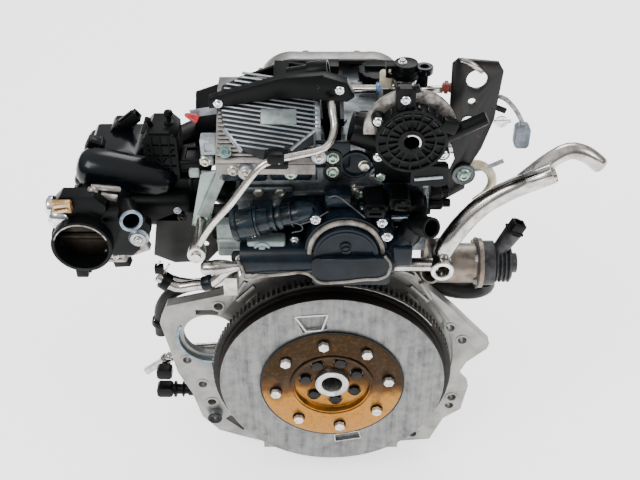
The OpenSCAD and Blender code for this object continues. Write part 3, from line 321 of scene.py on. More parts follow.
def rod(name: str, points: Sequence[Point], radius: float) -> Piece:
    """A round rod, wire or tube along a smooth path.

    Args:
        name: the piece's name.
        points: the path in millimetres.
        radius: its radius in millimetres.

    Returns:
        The rod as a closed mesh.
    """
    piece = curve_through(name, points, radius)
    piece.data.resolution_u = 6
    only(piece)
    bpy.ops.object.convert(target="MESH")
    edit(piece)
    bpy.ops.mesh.remove_doubles(threshold=1e-6)
    return finish_edges(close(piece), 0)


def hoop(name: str, inner: float, outer: float, low: float, high: float, start: float = 0,
         sweep: float = 360, width: float = 0.3) -> Piece:
    """A ring or an arc with a square section, spun about +Z.

    Args:
        name: the piece's name.
        inner: inner radius in millimetres.
        outer: outer radius.
        low: height of its underside.
        high: height of its top.
        start: angle in degrees at which an arc starts, from +X towards +Y.
        sweep: how far round it goes, in degrees.
        width: rounding of its edges.

    Returns:
        The closed ring or arc.
    """
    bpy.ops.mesh.primitive_plane_add(size=1)
    piece = named(name)
    turn = Matrix.Rotation(math.radians(start + sweep), 4, "Z")
    section = ((inner, low), (outer, low), (inner, high), (outer, high))
    for vertex, (x, z) in zip(piece.data.vertices, section):
        vertex.co = turn @ vec((x, 0, z))
    edit(piece)
    full = sweep >= 360
    if full:
        bpy.ops.mesh.delete(type="ONLY_FACE")
        bpy.ops.mesh.select_all(action="SELECT")
    bpy.ops.mesh.spin(steps=max(10, round(sweep / 6)), angle=math.radians(sweep), center=(0, 0, 0),
                      axis=(0, 0, 1), use_auto_merge=full)
    return finish_edges(close(piece), width)


def beam(name: str, start: Point, end: Point, wide: float, tall: float, width: float = 0.5,
         taper: float = 1.0) -> Piece:
    """A square bar or web between two places, that may narrow towards its far end.

    Args:
        name: the piece's name.
        start: the middle of its foot, in millimetres.
        end: the middle of its far end.
        wide: its width.
        tall: its other width.
        width: rounding of its edges.
        taper: how much of its section is left at the far end.

    Returns:
        The finished bar.
    """
    along = Vector(end) - Vector(start)
    piece = boxed(name, (-wide / 2, -tall / 2, 0), (wide / 2, tall / 2, along.length), 0)
    if taper != 1:
        edit(piece, "FACE", everything=False)
        face_towards(piece, Axis.UP)
        bpy.ops.transform.resize(value=(taper, taper, 1), center_override=(0, 0, along.length * MM))
        close(piece)
    return lay(finish_edges(piece, width), start, along)


def bars(lines: Iterable, wide: float, tall: float, width: float = 0.5) -> list[Piece]:
    """A square bar along each line.

    Args:
        lines: the start and the end of each bar, in millimetres.
        wide: their width.
        tall: their other width.
        width: rounding of their edges.

    Returns:
        The bars.
    """
    return [beam("bar", start, end, wide, tall, width) for start, end in lines]


@dataclass(frozen=True)
class Block:
    """A rounded block between two corners, in millimetres."""

    low: Point
    high: Point
    rounding: float = 1.0
    segments: int = 2

    def build(self) -> Piece:
        """Makes the block."""
        return boxed("block", self.low, self.high, self.rounding, self.segments)


@dataclass(frozen=True)
class Bar:
    """A square bar between two places, in millimetres."""

    start: Point
    end: Point
    wide: float
    tall: float
    rounding: float = 0.5

    def build(self) -> Piece:
        """Makes the bar."""
        return beam("bar", self.start, self.end, self.wide, self.tall, self.rounding)


def round_trip(places: Sequence[Point]) -> list[tuple]:
    """The lines from each place to the next, and from the last one back to the first."""
    return list(zip(places, [*places[1:], places[0]]))


def upright(outline: Sequence[Point], depth: float) -> list[Point]:
    """Places given as (x, z), all at one depth in Y."""
    return [(x, depth, z) for x, z in outline]


def round_about(centre: Point, radius: float, angles: Iterable[float]) -> list[Point]:
    """Places at angles in degrees on an upright circle that faces the front."""
    x, y, z = centre
    return [(x + radius * math.cos(turn), y, z + radius * math.sin(turn))
            for turn in map(math.radians, angles)]


def joined(name: str, pieces: Sequence[Piece]) -> Piece:
    """Joins several meshes into one piece that is made of separate solids."""
    deselect()
    for piece in pieces:
        piece.select_set(True)
    bpy.context.view_layer.objects.active = pieces[0]
    bpy.ops.object.join()
    return named(name)


def copies(name: str, pattern: Piece, places: Sequence[Point], way: Way = Axis.FRONT,
           spin: float = 17) -> Piece:
    """Copies of a pattern at several places, as one piece of separate solids.

    Args:
        name: the piece's name.
        pattern: what is copied, which is then removed.
        places: where each stands, in millimetres.
        way: where each looks.
        spin: how many degrees each is turned on from the one before.

    Returns:
        The piece.
    """
    made = []
    for count, place in enumerate(places):
        piece = pattern.copy()
        piece.data = pattern.data.copy()
        bpy.context.collection.objects.link(piece)
        made.append(lay(piece, place, way, spin * count))
    bpy.data.objects.remove(pattern)
    return joined(name, made)


# ---------------------------------------------------------------- finishes


def linear(code: str, alpha: float = 1.0) -> tuple[float, float, float, float]:
    """A linear colour from its sRGB hex value."""
    parts = [int(code[i:i + 2], 16) / 255 for i in (1, 3, 5)]
    red, green, blue = (c / 12.92 if c <= 0.04045 else ((c + 0.055) / 1.055) ** 2.4 for c in parts)
    return red, green, blue, alpha


def per_metre(size: float) -> float:
    """The texture scale at which one feature is this many millimetres."""
    return 1 / (size * MM)


class Graph:
    """The nodes of one material, round its shader."""

    def __init__(self, name: str) -> None:
        """Starts a material that holds one plain shader."""
        self.material = bpy.data.materials.new(name)
        self.material.use_nodes = True
        self.tree = self.material.node_tree
        self.shader = self.tree.nodes["Principled BSDF"]
        self.where = self.add("ShaderNodeTexCoord").outputs["Object"]

    def add(self, kind: str, wires: dict | None = None, stops: Iterable = (),
            **settings: object) -> bpy.types.Node:
        """Adds a node.

        Args:
            kind: its type.
            wires: a value or another node's socket for each input.
            stops: positions and colours, where the node has a colour ramp.
            settings: its own properties.

        Returns:
            The node.
        """
        node = self.tree.nodes.new(kind)
        for key, value in settings.items():
            setattr(node, key, value)
        for place, (position, colour) in enumerate(stops):
            elements = node.color_ramp.elements
            stop = elements[place] if place < len(elements) else elements.new(position)
            stop.position, stop.color = position, linear(colour)
        for key, value in (wires or {}).items():
            self.wire(value, node.inputs[key])
        return node

    def wire(self, value: object, socket: Socket) -> None:
        """Links another node's socket to an input, or sets the input's own value."""
        if isinstance(value, Socket):
            self.tree.links.new(value, socket)
        else:
            socket.default_value = value

    def end(self, **inputs: object) -> bpy.types.Material:
        """Sets the shader's sockets, with _ in their names for a space, and returns the material."""
        for key, value in inputs.items():
            self.wire(value, self.shader.inputs[key.replace("_", " ")])
        return self.material


@dataclass(frozen=True)
class Finish:
    """A surface: what it is made of, its colours and the sizes of its patterns, in millimetres.

    light and dark are the two tones of its clouds, each about cloud across. Its grain is grain across and
    depth deep. shine is the specular level of a surface that isn't metal. rear, where it is given, is the
    tone of what lies behind rear_from in Y and further than rear_radius from the crank's axis.
    """

    name: str
    slot: str
    light: str
    dark: str
    roughness: float = 0.45
    metallic: float = 0.0
    grain: float = 0.8
    depth: float = 0.15
    cloud: float = 40.0
    shine: float = 0.5
    rear: str = ""
    rear_from: float = 0.0
    rear_radius: float = 0.0

    def material(self) -> bpy.types.Material:
        """The finish's material, made on first use."""
        made = bpy.data.materials.get(self.name)
        return made if made else self.build(Graph(self.name))

    def build(self, graph: Graph) -> bpy.types.Material:
        """Cloudy colour over a fine grain.

        Args:
            graph: the empty graph to fill.

        Returns:
            The material.
        """
        cloud = graph.add("ShaderNodeTexNoise", {"Vector": graph.where, "Scale": per_metre(self.cloud),
                                                 "Detail": 5.0, "Roughness": 0.6})
        colour = graph.add("ShaderNodeValToRGB", {"Fac": cloud.outputs["Fac"]},
                           stops=((0.32, self.dark), (0.62, self.light)))
        rough = graph.add("ShaderNodeMapRange", {"Value": cloud.outputs["Fac"],
                                                 "To Min": self.roughness + 0.1,
                                                 "To Max": self.roughness - 0.1})
        return self.ended(graph, self.toned(graph, colour.outputs["Color"]), rough.outputs["Result"])

    def ended(self, graph: Graph, colour: Socket, roughness: Socket | float,
              metallic: Socket | float | None = None) -> bpy.types.Material:
        """Wires a finish's graph to its shader.

        Args:
            graph: the graph to end.
            colour: the surface's colour.
            roughness: its roughness.
            metallic: how metallic it is, if not the same all over.

        Returns:
            The material.
        """
        return graph.end(Base_Color=colour, Metallic=self.metallic if metallic is None else metallic,
                         Roughness=roughness, Specular_IOR_Level=self.shine, Normal=self.grained(graph))

    def toned(self, graph: Graph, colour: Socket) -> Socket:
        """Gives what lies behind rear_from, and past rear_radius from the crank's axis, its own tone.

        Args:
            graph: the graph to add to.
            colour: the front's colour.

        Returns:
            The colour for the whole piece.
        """
        if not self.rear:
            return colour
        parts = graph.add("ShaderNodeSeparateXYZ", {"Vector": graph.where}).outputs
        behind = graph.add("ShaderNodeMapRange", {"Value": parts["Y"], "From Max": self.rear_from * MM,
                                                  "From Min": (self.rear_from - 0.4) * MM})
        level = graph.add("ShaderNodeCombineXYZ", {"X": parts["X"], "Z": parts["Z"]})
        radius = graph.add("ShaderNodeVectorMath", {0: level.outputs["Vector"]}, operation="LENGTH")
        outside = graph.add("ShaderNodeMath", {0: radius.outputs["Value"], 1: self.rear_radius * MM},
                            operation="GREATER_THAN")
        both = graph.add("ShaderNodeMath", {0: behind.outputs["Result"], 1: outside.outputs["Value"]},
                         operation="MULTIPLY")
        mixed = graph.add("ShaderNodeMix", {"Factor": both.outputs["Value"], MIX_A: colour,
                                            MIX_B: linear(self.rear)}, data_type="RGBA")
        return mixed.outputs[MIX_OUT]

    def grained(self, graph: Graph) -> Socket:
        """The normal of a fine grain, as deep as the finish says."""
        grain = graph.add("ShaderNodeTexNoise", {"Vector": graph.where, "Scale": per_metre(self.grain),
                                                 "Detail": 3.0})
        bump = graph.add("ShaderNodeBump", {"Height": grain.outputs["Fac"], "Strength": 0.6,
                                            "Distance": self.depth * MM})
        return bump.outputs["Normal"]


@dataclass(frozen=True)
class SandCast(Finish):
    """Aluminium cast in a sand or die mould: a satin, pitted skin with bluish and oily patches."""

    tint: str = "#8FA4B2"

    def build(self, graph: Graph) -> bpy.types.Material:
        """Cloudy grey, tinted here and there, over pitted grain."""
        cloud = graph.add("ShaderNodeTexNoise", {"Vector": graph.where, "Scale": per_metre(self.cloud),
                                                 "Detail": 6.0, "Roughness": 0.65})
        grey = graph.add("ShaderNodeValToRGB", {"Fac": cloud.outputs["Fac"]},
                         stops=((0.3, self.dark), (0.58, self.light)))
        patch = graph.add("ShaderNodeTexNoise", {"Vector": graph.where, "Detail": 2.0,
                                                 "Scale": per_metre(self.cloud * 2.2)})
        amount = graph.add("ShaderNodeMapRange", {"Value": patch.outputs["Fac"], "From Min": 0.52,
                                                  "From Max": 0.7, "To Max": 0.55})
        colour = graph.add("ShaderNodeMix", {"Factor": amount.outputs["Result"], MIX_B: linear(self.tint),
                                             MIX_A: grey.outputs["Color"]}, data_type="RGBA")
        rough = graph.add("ShaderNodeMapRange", {"Value": cloud.outputs["Fac"],
                                                 "To Min": self.roughness + 0.15,
                                                 "To Max": self.roughness - 0.12})
        return self.ended(graph, colour.outputs[MIX_OUT], rough.outputs["Result"])


@dataclass(frozen=True)
class FacedSteel(Finish):
    """Steel faced flat and handled since: long faint streaks that run up and down, and small scuffs."""

    streak: float = 7.0

    def build(self, graph: Graph) -> bpy.types.Material:
        """Streaks drawn out along Z, with scuffs between them."""
        drawn = graph.add("ShaderNodeMapping", {"Vector": graph.where, "Scale": (1, 1, 0.07)})
        streaks = graph.add("ShaderNodeTexNoise", {"Vector": drawn.outputs["Vector"], "Detail": 6.0,
                                                   "Scale": per_metre(self.streak), "Roughness": 0.7})
        scuffs = graph.add("ShaderNodeTexNoise", {"Vector": graph.where, "Scale": per_metre(self.cloud),
                                                  "Detail": 8.0, "Roughness": 0.75})
        both = graph.add("ShaderNodeMath", {0: streaks.outputs["Fac"], 1: scuffs.outputs["Fac"]},
                         operation="ADD")
        level = graph.add("ShaderNodeMath", {0: both.outputs["Value"], 1: 0.5}, operation="MULTIPLY")
        colour = graph.add("ShaderNodeValToRGB", {"Fac": level.outputs["Value"]},
                           stops=((0.38, self.dark), (0.56, self.light)))
        rough = graph.add("ShaderNodeMapRange", {"Value": level.outputs["Value"], "From Min": 0.35,
                                                 "From Max": 0.65, "To Min": self.roughness + 0.12,
                                                 "To Max": self.roughness - 0.06})
        return self.ended(graph, self.toned(graph, colour.outputs["Color"]), rough.outputs["Result"])


@dataclass(frozen=True)
class GoldSheet(Finish):
    """Pressed steel with a gold passivated skin, with a painted dark reflection over its upper half."""

    # The freckles' rust, which is also the middle tone where the painted reflection begins.
    rust_and_reflection: str = "#8A5A2C"
    freckle: float = 6.0

    def build(self, graph: Graph) -> bpy.types.Material:
        """Gold below, a painted dark reflection above, with an uneven edge between them, and rusty freckles.
        """
        # Darker towards the top along Z: a painted reflection.
        parts = graph.add("ShaderNodeSeparateXYZ", {"Vector": graph.where})
        waves = graph.add("ShaderNodeTexNoise", {"Vector": graph.where, "Scale": per_metre(self.cloud),
                                                 "Detail": 4.0})
        edge = graph.add("ShaderNodeMath", {0: waves.outputs["Fac"], 1: 0.05, 2: parts.outputs["Z"]},
                         operation="MULTIPLY_ADD")
        reflection_blend = graph.add("ShaderNodeMapRange", {"Value": edge.outputs["Value"], "From Min": 0.002,
                                                 "From Max": 0.032})
        colour = graph.add("ShaderNodeValToRGB", {"Fac": reflection_blend.outputs["Result"]},
                           stops=((0.0, self.light), (0.5, self.rust_and_reflection), (1.0, self.dark)))
        freckles = graph.add("ShaderNodeTexNoise", {"Vector": graph.where, "Detail": 6.0, "Roughness": 0.8,
                                                    "Scale": per_metre(self.freckle)})
        spots = graph.add("ShaderNodeMapRange", {"Value": freckles.outputs["Fac"], "From Min": 0.5,
                                                 "From Max": 0.68, "To Max": 0.7})
        stained = graph.add("ShaderNodeMix", {"Factor": spots.outputs["Result"], MIX_B: linear(self.rust_and_reflection),
                                              MIX_A: colour.outputs["Color"]}, data_type="RGBA")
        return self.ended(graph, stained.outputs[MIX_OUT], self.roughness)


@dataclass(frozen=True)
class WornPaint(Finish):
    """A thin black dip coat that has rubbed through in small chips to what is under it."""

    under: str = "#8D8A86"
    chips: float = 0.66
    flake: float = 9.0

    def build(self, graph: Graph) -> bpy.types.Material:
        """Paint with chips where a rough noise runs highest."""
        cloud = graph.add("ShaderNodeTexNoise", {"Vector": graph.where, "Scale": per_metre(self.cloud),
                                                 "Detail": 5.0})
        paint = graph.add("ShaderNodeValToRGB", {"Fac": cloud.outputs["Fac"]},
                          stops=((0.35, self.dark), (0.65, self.light)))
        flakes = graph.add("ShaderNodeTexNoise", {"Vector": graph.where, "Scale": per_metre(self.flake),
                                                  "Detail": 9.0, "Roughness": 0.75})
        chipped = graph.add("ShaderNodeMapRange", {"Value": flakes.outputs["Fac"], "From Min": self.chips,
                                                   "From Max": self.chips + 0.03})
        colour = graph.add("ShaderNodeMix", {"Factor": chipped.outputs["Result"], MIX_B: linear(self.under),
                                             MIX_A: paint.outputs["Color"]}, data_type="RGBA")
        return self.ended(graph, colour.outputs[MIX_OUT], self.roughness)


@dataclass(frozen=True)
class Grip(Finish):
    """A moulded grip on a bright steel strip, which is bare below the height where the grip starts."""

    strip: str = "#B9B5AD"
    starts: float = 190.0

    def build(self, graph: Graph) -> bpy.types.Material:
        """Moulding above, bare metal below."""
        parts = graph.add("ShaderNodeSeparateXYZ", {"Vector": graph.where})
        grip = graph.add("ShaderNodeMath", {0: parts.outputs["Z"], 1: self.starts * MM},
                         operation="GREATER_THAN")
        metal = graph.add("ShaderNodeMath", {0: 1.0, 1: grip.outputs["Value"]}, operation="SUBTRACT")
        colour = graph.add("ShaderNodeMix", {"Factor": grip.outputs["Value"], MIX_A: linear(self.strip),
                                             MIX_B: linear(self.light)}, data_type="RGBA")
        return self.ended(graph, colour.outputs[MIX_OUT], self.roughness, metal.outputs["Value"])


class Finishes:
    """Every finish on the engine, by what it is.

    Casting grain and paint grain are drawn two or three times as coarse as they are, so that they show.
    """

    # Aluminium from a sand mould: a satin grey skin, softly pitted, a little bluer in patches.
    BLOCK = SandCast("sand_cast_aluminium", "cast_aluminium", "#969490", "#787672", 0.46, 0.85, 1.1, 0.3, 30,
                     tint="#858B90")
    # The same casting where oil and heat have blued its edge: a cold, smoother gleam.
    BLUED = Finish("blued_casting_edge", "cast_aluminium", "#7E9AA9", "#465763", 0.38, 0.8, 0.9, 0.15, 12)
    # Aluminium from a die, darkened by oil vapour: dark blue-grey clouds over a fine skin.
    HEAD = SandCast("die_cast_aluminium", "dark_aluminium", "#666B6D", "#383C3F", 0.42, 0.85, 1.0, 0.25, 18,
                    tint="#4A545B")
    # Die casting with baked-on dirt: brownish grey and duller.
    LEDGE = SandCast("brown_grey_casting", "dark_aluminium", "#8E8A86", "#4A4745", 0.46, 0.75, 1.0, 0.2, 30,
                     tint="#6A6660")
    # Clean gravity-cast aluminium: pale, even and rather bright.
    FINS = SandCast("gravity_cast_cover", "cast_aluminium", "#A9ADB0", "#6C7278", 0.36, 0.9, 1.0, 0.2, 22)
    # The cover's skin between its fins, which light hardly reaches: near black, as painted shade.
    SHADE = Finish("shaded_fin_bed", "dark_aluminium", "#191E26", "#0A0C10", 0.5, 0.4, 0.9, 0.1, 14)
    # Aluminium casting with a conversion coat: a dull green-grey.
    GREY_CAST = SandCast("green_grey_casting", "cast_aluminium", "#97A29F", "#66716F", 0.5, 0.6, 1.0, 0.2, 26,
                         tint="#8C9BA0")
    # Cast steel faced on a lathe: silvery with upright streaks in front; the rim behind the face is painted
    # near black as shade.
    WHEEL = FacedSteel("faced_steel", "machined_steel", "#7F7F7E", "#575858", 0.46, 0.8, 0.7, 0.05, 16,
                       rear="#1E1A17", rear_from=-44.3, rear_radius=130, streak=9)
    # Fresh turned steel: bright, with short sharp reflections. It also makes the painted glint on the gear's
    # shade ring.
    TURNED = FacedSteel("turned_steel", "machined_steel", "#C9C9C7", "#8A8A88", 0.3, 1.0, 0.6, 0.03, 10)
    # Steel under a film of old oil: brown-black with a wet gleam. Over the starter gear's front it also makes
    # a ring of painted shade.
    OILED = Finish("oiled_steel", "forged_iron", "#1F1B18", "#0A0807", 0.36, 0.5, 0.8, 0.05, 14, 0.3)
    # Pressed steel, gold passivated: warm metal freckled with rust, with a painted dark reflection that
    # browns it upwards.
    GOLD = GoldSheet("gold_passivated_sheet", "bronze_plate", "#A06F30", "#2A1F12", 0.32, 0.92, 0.8, 0.03, 26,
                     rust_and_reflection="#54371C")
    # Induction-hardened gear steel: dark with worn, half-bright tooth flanks.
    GEAR = Finish("hardened_gear_steel", "forged_iron", "#5F5B57", "#34312E", 0.42, 0.8, 0.8, 0.05, 14)
    # Brass under a film of soot: dark brown with a faint warm gleam.
    BRASS = Finish("tarnished_brass", "bronze_plate", "#2B2117", "#0E0A07", 0.42, 0.7, 0.8, 0.05, 12)
    # Zinc-plated steel: pale, faintly yellow and bright. It also makes the painted highlight at the
    # separator's centre.
    ZINC = Finish("zinc_plated_steel", "zinc_steel", "#DAD6CB", "#9B978D", 0.3, 0.9, 0.5, 0.03, 5)
    # The same plating on a bolt whose washer, behind the head, is black.
    BOLTED = Finish("plated_bolt_on_dark_washer", "zinc_steel", "#E2DAD2", "#A79F99", 0.3, 0.9, 0.5, 0.03, 5,
                    rear="#16120F", rear_from=-49.1)
    # Zinc plating with a green passivation: pale sea-green metal.
    GREEN_ZINC = Finish("green_zinc_plating", "zinc_steel", "#B9CBBE", "#74897E", 0.34, 0.85, 0.5, 0.03, 5)
    # Nickel-bright plating: almost a mirror.
    CHROME = Finish("bright_plated_steel", "zinc_steel", "#E9EAEB", "#A6A9AC", 0.16, 1.0, 0.6, 0.03, 6)
    # Glass-filled nylon, from a polished mould: blue-grey with a soft gleam. It also makes the painted
    # highlight lines on the coolant pads.
    SHEEN = Finish("blue_grey_moulding", "grey_plastic", "#8796A6", "#46525F", 0.25, 0.3, 0.6, 0.04, 9)
    # Casting rubbed by hands and tools: dirty hollows, brighter crests.
    WORN = Finish("rubbed_casting", "cast_aluminium", "#A8A29C", "#47413E", 0.36, 0.6, 0.9, 0.15, 8)
    # A moulded edge that has lost its black: a tan-grey line.
    EDGE = Finish("rubbed_moulding_edge", "black_plastic", "#8E877D", "#35332F", 0.38, 0.1, 0.8, 0.08, 16)
    # Moulded polyamide in light grey: matt and even.
    PALE = Finish("light_grey_moulding", "grey_plastic", "#A3A9AE", "#6F767C", 0.42, 0.2, 0.7, 0.05, 10)
    # Moulded phenolic in tan: warm with dark hollows.
    TAN = Finish("tan_moulding", "tan_cast", "#C69C66", "#6E4B28", 0.34, 0.4, 0.7, 0.05, 9)
    # Steel tube with a cream plastic coat: soft and a little grubby.
    CREAM = Finish("cream_coated_tube", "grey_plastic", "#DCD3BD", "#A79A7C", 0.4, 0.2, 0.8, 0.06, 12)
    # Teal passivated screw: coloured metal.
    TEAL = Finish("teal_plated_screw", "zinc_steel", "#8FA9A5", "#56716D", 0.3, 0.7, 0.5, 0.03, 8)
    # Union with a blue passivated plating: saturated, with a metal gleam.
    BLUE = Finish("blue_plated_union", "zinc_steel", "#6E8FC0", "#2C466E", 0.26, 0.7, 0.5, 0.03, 8)
    # Moulded polyethylene transit cap: plain red, waxy.
    RED = Finish("red_cap_moulding", "grey_plastic", "#C8353D", "#8E1B24", 0.36, 0.0, 0.6, 0.05, 8)
    # Moulded plug body in brown-red nylon: dull.
    BROWN = Finish("brown_red_moulding", "grey_plastic", "#8C4334", "#4E1F16", 0.4, 0.0, 0.6, 0.05, 8)
    # Black glass-filled nylon from a grained mould: matt black with a weak highlight.
    MOULDED = Finish("moulded_nylon", "black_plastic", "#08090B", "#030404", 0.36, 0.0, 0.7, 0.12, 22, 0.11)
    # Black nylon from a polished mould: deep black with sharp, bluish reflections.
    GLOSS = Finish("glossy_lid", "black_plastic", "#080E13", "#020304", 0.2, 0.0, 0.9, 0.05, 30, 0.26)
    # The sensor barrel's smooth nylon, filmed with coolant: a teal-black gleam.
    BARREL = Finish("barrel_moulding", "black_plastic", "#1B2830", "#070B0F", 0.24, 0.0, 0.8, 0.05, 14, 0.28)
    # Smooth black nylon with a bluish bloom.
    SMOOTH = Finish("smooth_moulding", "black_plastic", "#0F1A23", "#04070A", 0.28, 0.0, 0.8, 0.05, 26, 0.17)
    # Moulded rubber: soft black, with no sharp highlight.
    RUBBER = Finish("moulded_rubber", "black_rubber", "#141312", "#060505", 0.5, 0.0, 0.9, 0.1, 20, 0.25)
    # Drawn stainless tube: silver with long bright reflections.
    TUBE = Finish("drawn_stainless_tube", "stainless_pipe", "#C6C1BC", "#8D8884", 0.2, 1.0, 0.9, 0.06, 14)
    # The same tube, with a dull plated stay behind it.
    STAYED = Finish("tube_with_plated_stay", "stainless_pipe", "#D3CDC7", "#9C9690", 0.22, 0.9, 0.9, 0.06, 14,
                    rear="#7F8B86", rear_from=4.0)
    # Sheet steel with a thin grey-black paint: flat and dusty.
    CHARCOAL = Finish("charcoal_sheet", "black_paint", "#1A1A18", "#10100E", 0.4, 0.0, 0.8, 0.08, 24, 0.2)
    # Steel dipped in black paint: black, chipped to grey metal.
    DIPPED = WornPaint("black_dip_coat", "black_paint", "#090A0B", "#030404", 0.36, 0.0, 0.8, 0.1, 24, 0.11)
    # The same coat where rust shows through its chips: red-brown flecks.
    STAINED = WornPaint("stained_dip_coat", "black_paint", "#0D0A09", "#050404", 0.36, 0.0, 0.8, 0.1, 24,
                        0.28, under="#4A241A", chips=0.62)
    # Casting stained by exhaust heat: grey-brown with straw-coloured patches.
    HEATED = SandCast("heat_stained_casting", "tan_cast", "#857D74", "#3B3631", 0.42, 0.88, 0.9, 0.3, 18,
                      tint="#86684E")
    # Rough die casting, dark from heat: coarse charcoal metal.
    BURNT = Finish("rough_dark_casting", "dark_aluminium", "#3A3A3C", "#151517", 0.5, 0.5, 1.6, 0.5, 9)
    # Forged and machined steel: mid grey, lightly oiled.
    FORGED = Finish("machined_forging", "forged_iron", "#505153", "#232426", 0.45, 0.8, 0.8, 0.1, 20)
    # Woven glass sleeve: matt grey with a coarse, knobbly weave.
    BRAID = Finish("braided_sleeve", "grey_braid", "#A2A3A4", "#4A4B4D", 0.6, 0.1, 1.2, 0.3, 3)
    # Moulded grey nylon: even and satin.
    PLUG = Finish("grey_nylon", "grey_plastic", "#6F7880", "#48505A", 0.42, 0.0, 0.6, 0.05, 8)
    # Yellow nylon grip moulded on a bright steel strip.
    YELLOW = Grip("yellow_grip", "yellow_plastic", "#E2B52A", "#B98A12", 0.35, 0.0, 0.6, 0.05, 10)


# ---------------------------------------------------------------- the engine


class Head(Enum):
    """How many sides a screw's head has: a hexagon, or round with a socket."""

    HEX = 6
    SOCKET = 24


def body_of(node: str) -> str:
    """The moving body that a CAD node belongs to."""
    bodies = frame["record"]["behaviour"]["bodies"]
    return next(name for name, nodes in bodies.items() if node in nodes)


def put(piece: Piece, finish: Finish, body: str = "engine") -> Piece:
    """Gives a new piece its finish and its body, and returns it."""
    piece.data.materials.clear()
    piece.data.materials.append(finish.material())
    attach(piece, body)
    LOG.info("%s rides on %s", piece.name, body)
    return piece


def fit(piece: Piece, finish: Finish, at: Point, way: Way = Axis.FRONT, body: str = "engine") -> Piece:
    """Lays a piece in its place in millimetres, gives it its finish and body, and returns it."""
    return put(lay(piece, at, way), finish, body)


def cast(name: str, solids: Sequence[Piece | Block | Bar], finish: Finish, width: float = 0) -> Piece:
    """Joins solids into one piece, and gives it its finish.

    Args:
        name: the piece's name.
        solids: its solids, made or still to be made.
        finish: its finish.
        width: rounding of its edges in millimetres, or 0 where the solids are already rounded.

    Returns:
        The piece.
    """
    piece = joined(name, [solid.build() if isinstance(solid, (Block, Bar)) else solid for solid in solids])
    return put(finish_edges(piece, width) if width else piece, finish)


def dress(node: str, finish: Finish, rounding: float = 0.8, segments: int = 2) -> Piece:
    """Copies a CAD node, rounds its edges, and lets the copy stand for it.

    Args:
        node: the node's name.
        finish: its finish.
        rounding: width of its rounded edges in millimetres.
        segments: faces across the rounding.

    Returns:
        The finished copy.
    """
    piece = bpy.data.objects.new(f"{node}_finished", frame["nodes"][node].data.copy())
    bpy.context.collection.objects.link(piece)
    edit(piece)
    bpy.ops.mesh.remove_doubles(threshold=WELD)
    bpy.ops.mesh.dissolve_limited(angle_limit=FLAT_WITHIN)
    bpy.ops.object.mode_set(mode="OBJECT")
    finish_edges(piece, rounding, segments)
    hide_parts(node)
    return put(piece, finish, body_of(node))


def screw(size: float, head: Head = Head.HEX, tall: float = 0.6) -> Piece:
    """A flange screw's head that stands on z = 0.

    Args:
        size: radius of its flange in millimetres.
        head: the shape of its head.
        tall: height of the head over its flange's radius.

    Returns:
        The head, as flange and crown.
    """
    flange = turned("flange", ((size, 0), (size, size * 0.12), (size * 0.84, size * 0.26)), 28, 0)
    wide = size * (0.72 if head is Head.HEX else 0.62)
    crown = turned("crown", ((wide, size * 0.1), (wide, size * tall), (wide * 0.82, size * (tall + 0.1)),
                             (wide * 0.55, size * (tall + 0.1)), (wide * 0.5, size * (tall - 0.2))),
                   head.value, 0)
    return joined("screw", [flange, crown])


@dataclass
class Connector:
    """A moulded plug: its housing, the collar of its socket, its latch and ribs."""

    name: str
    at: Point
    way: Point
    wide: float = 20
    deep: float = 14
    tall: float = 18
    turn: float = 0
    finish: Finish = Finishes.MOULDED

    def build(self) -> Piece:
        """Makes the plug with an open pocket at its far end, where the wires would leave."""
        x, y, z = self.wide / 2, self.deep / 2, self.tall
        housing = sink(boxed("housing", (-x, -y, 0), (x, y, z), 1.4), Axis.UP, 1.8, z * 0.3)
        collar = boxed("collar", (-x - 1.6, -y - 1.6, z * 0.12), (x + 1.6, y + 1.6, z * 0.34), 1.2)
        latch = boxed("latch", (-x * 0.4, y - 1, z * 0.4), (x * 0.4, y + 2.2, z * 0.94), 0.7)
        ribs = [boxed("rib", (side - 0.8, -y * 0.6, z * 0.4), (side + 0.8, y * 0.6, z * 0.85), 0.4)
                for side in (-x, x)]
        piece = lay(joined(self.name, [housing, collar, latch, *ribs]), self.at, self.way, self.turn)
        return put(finish_edges(piece, 0.3, 1), self.finish)


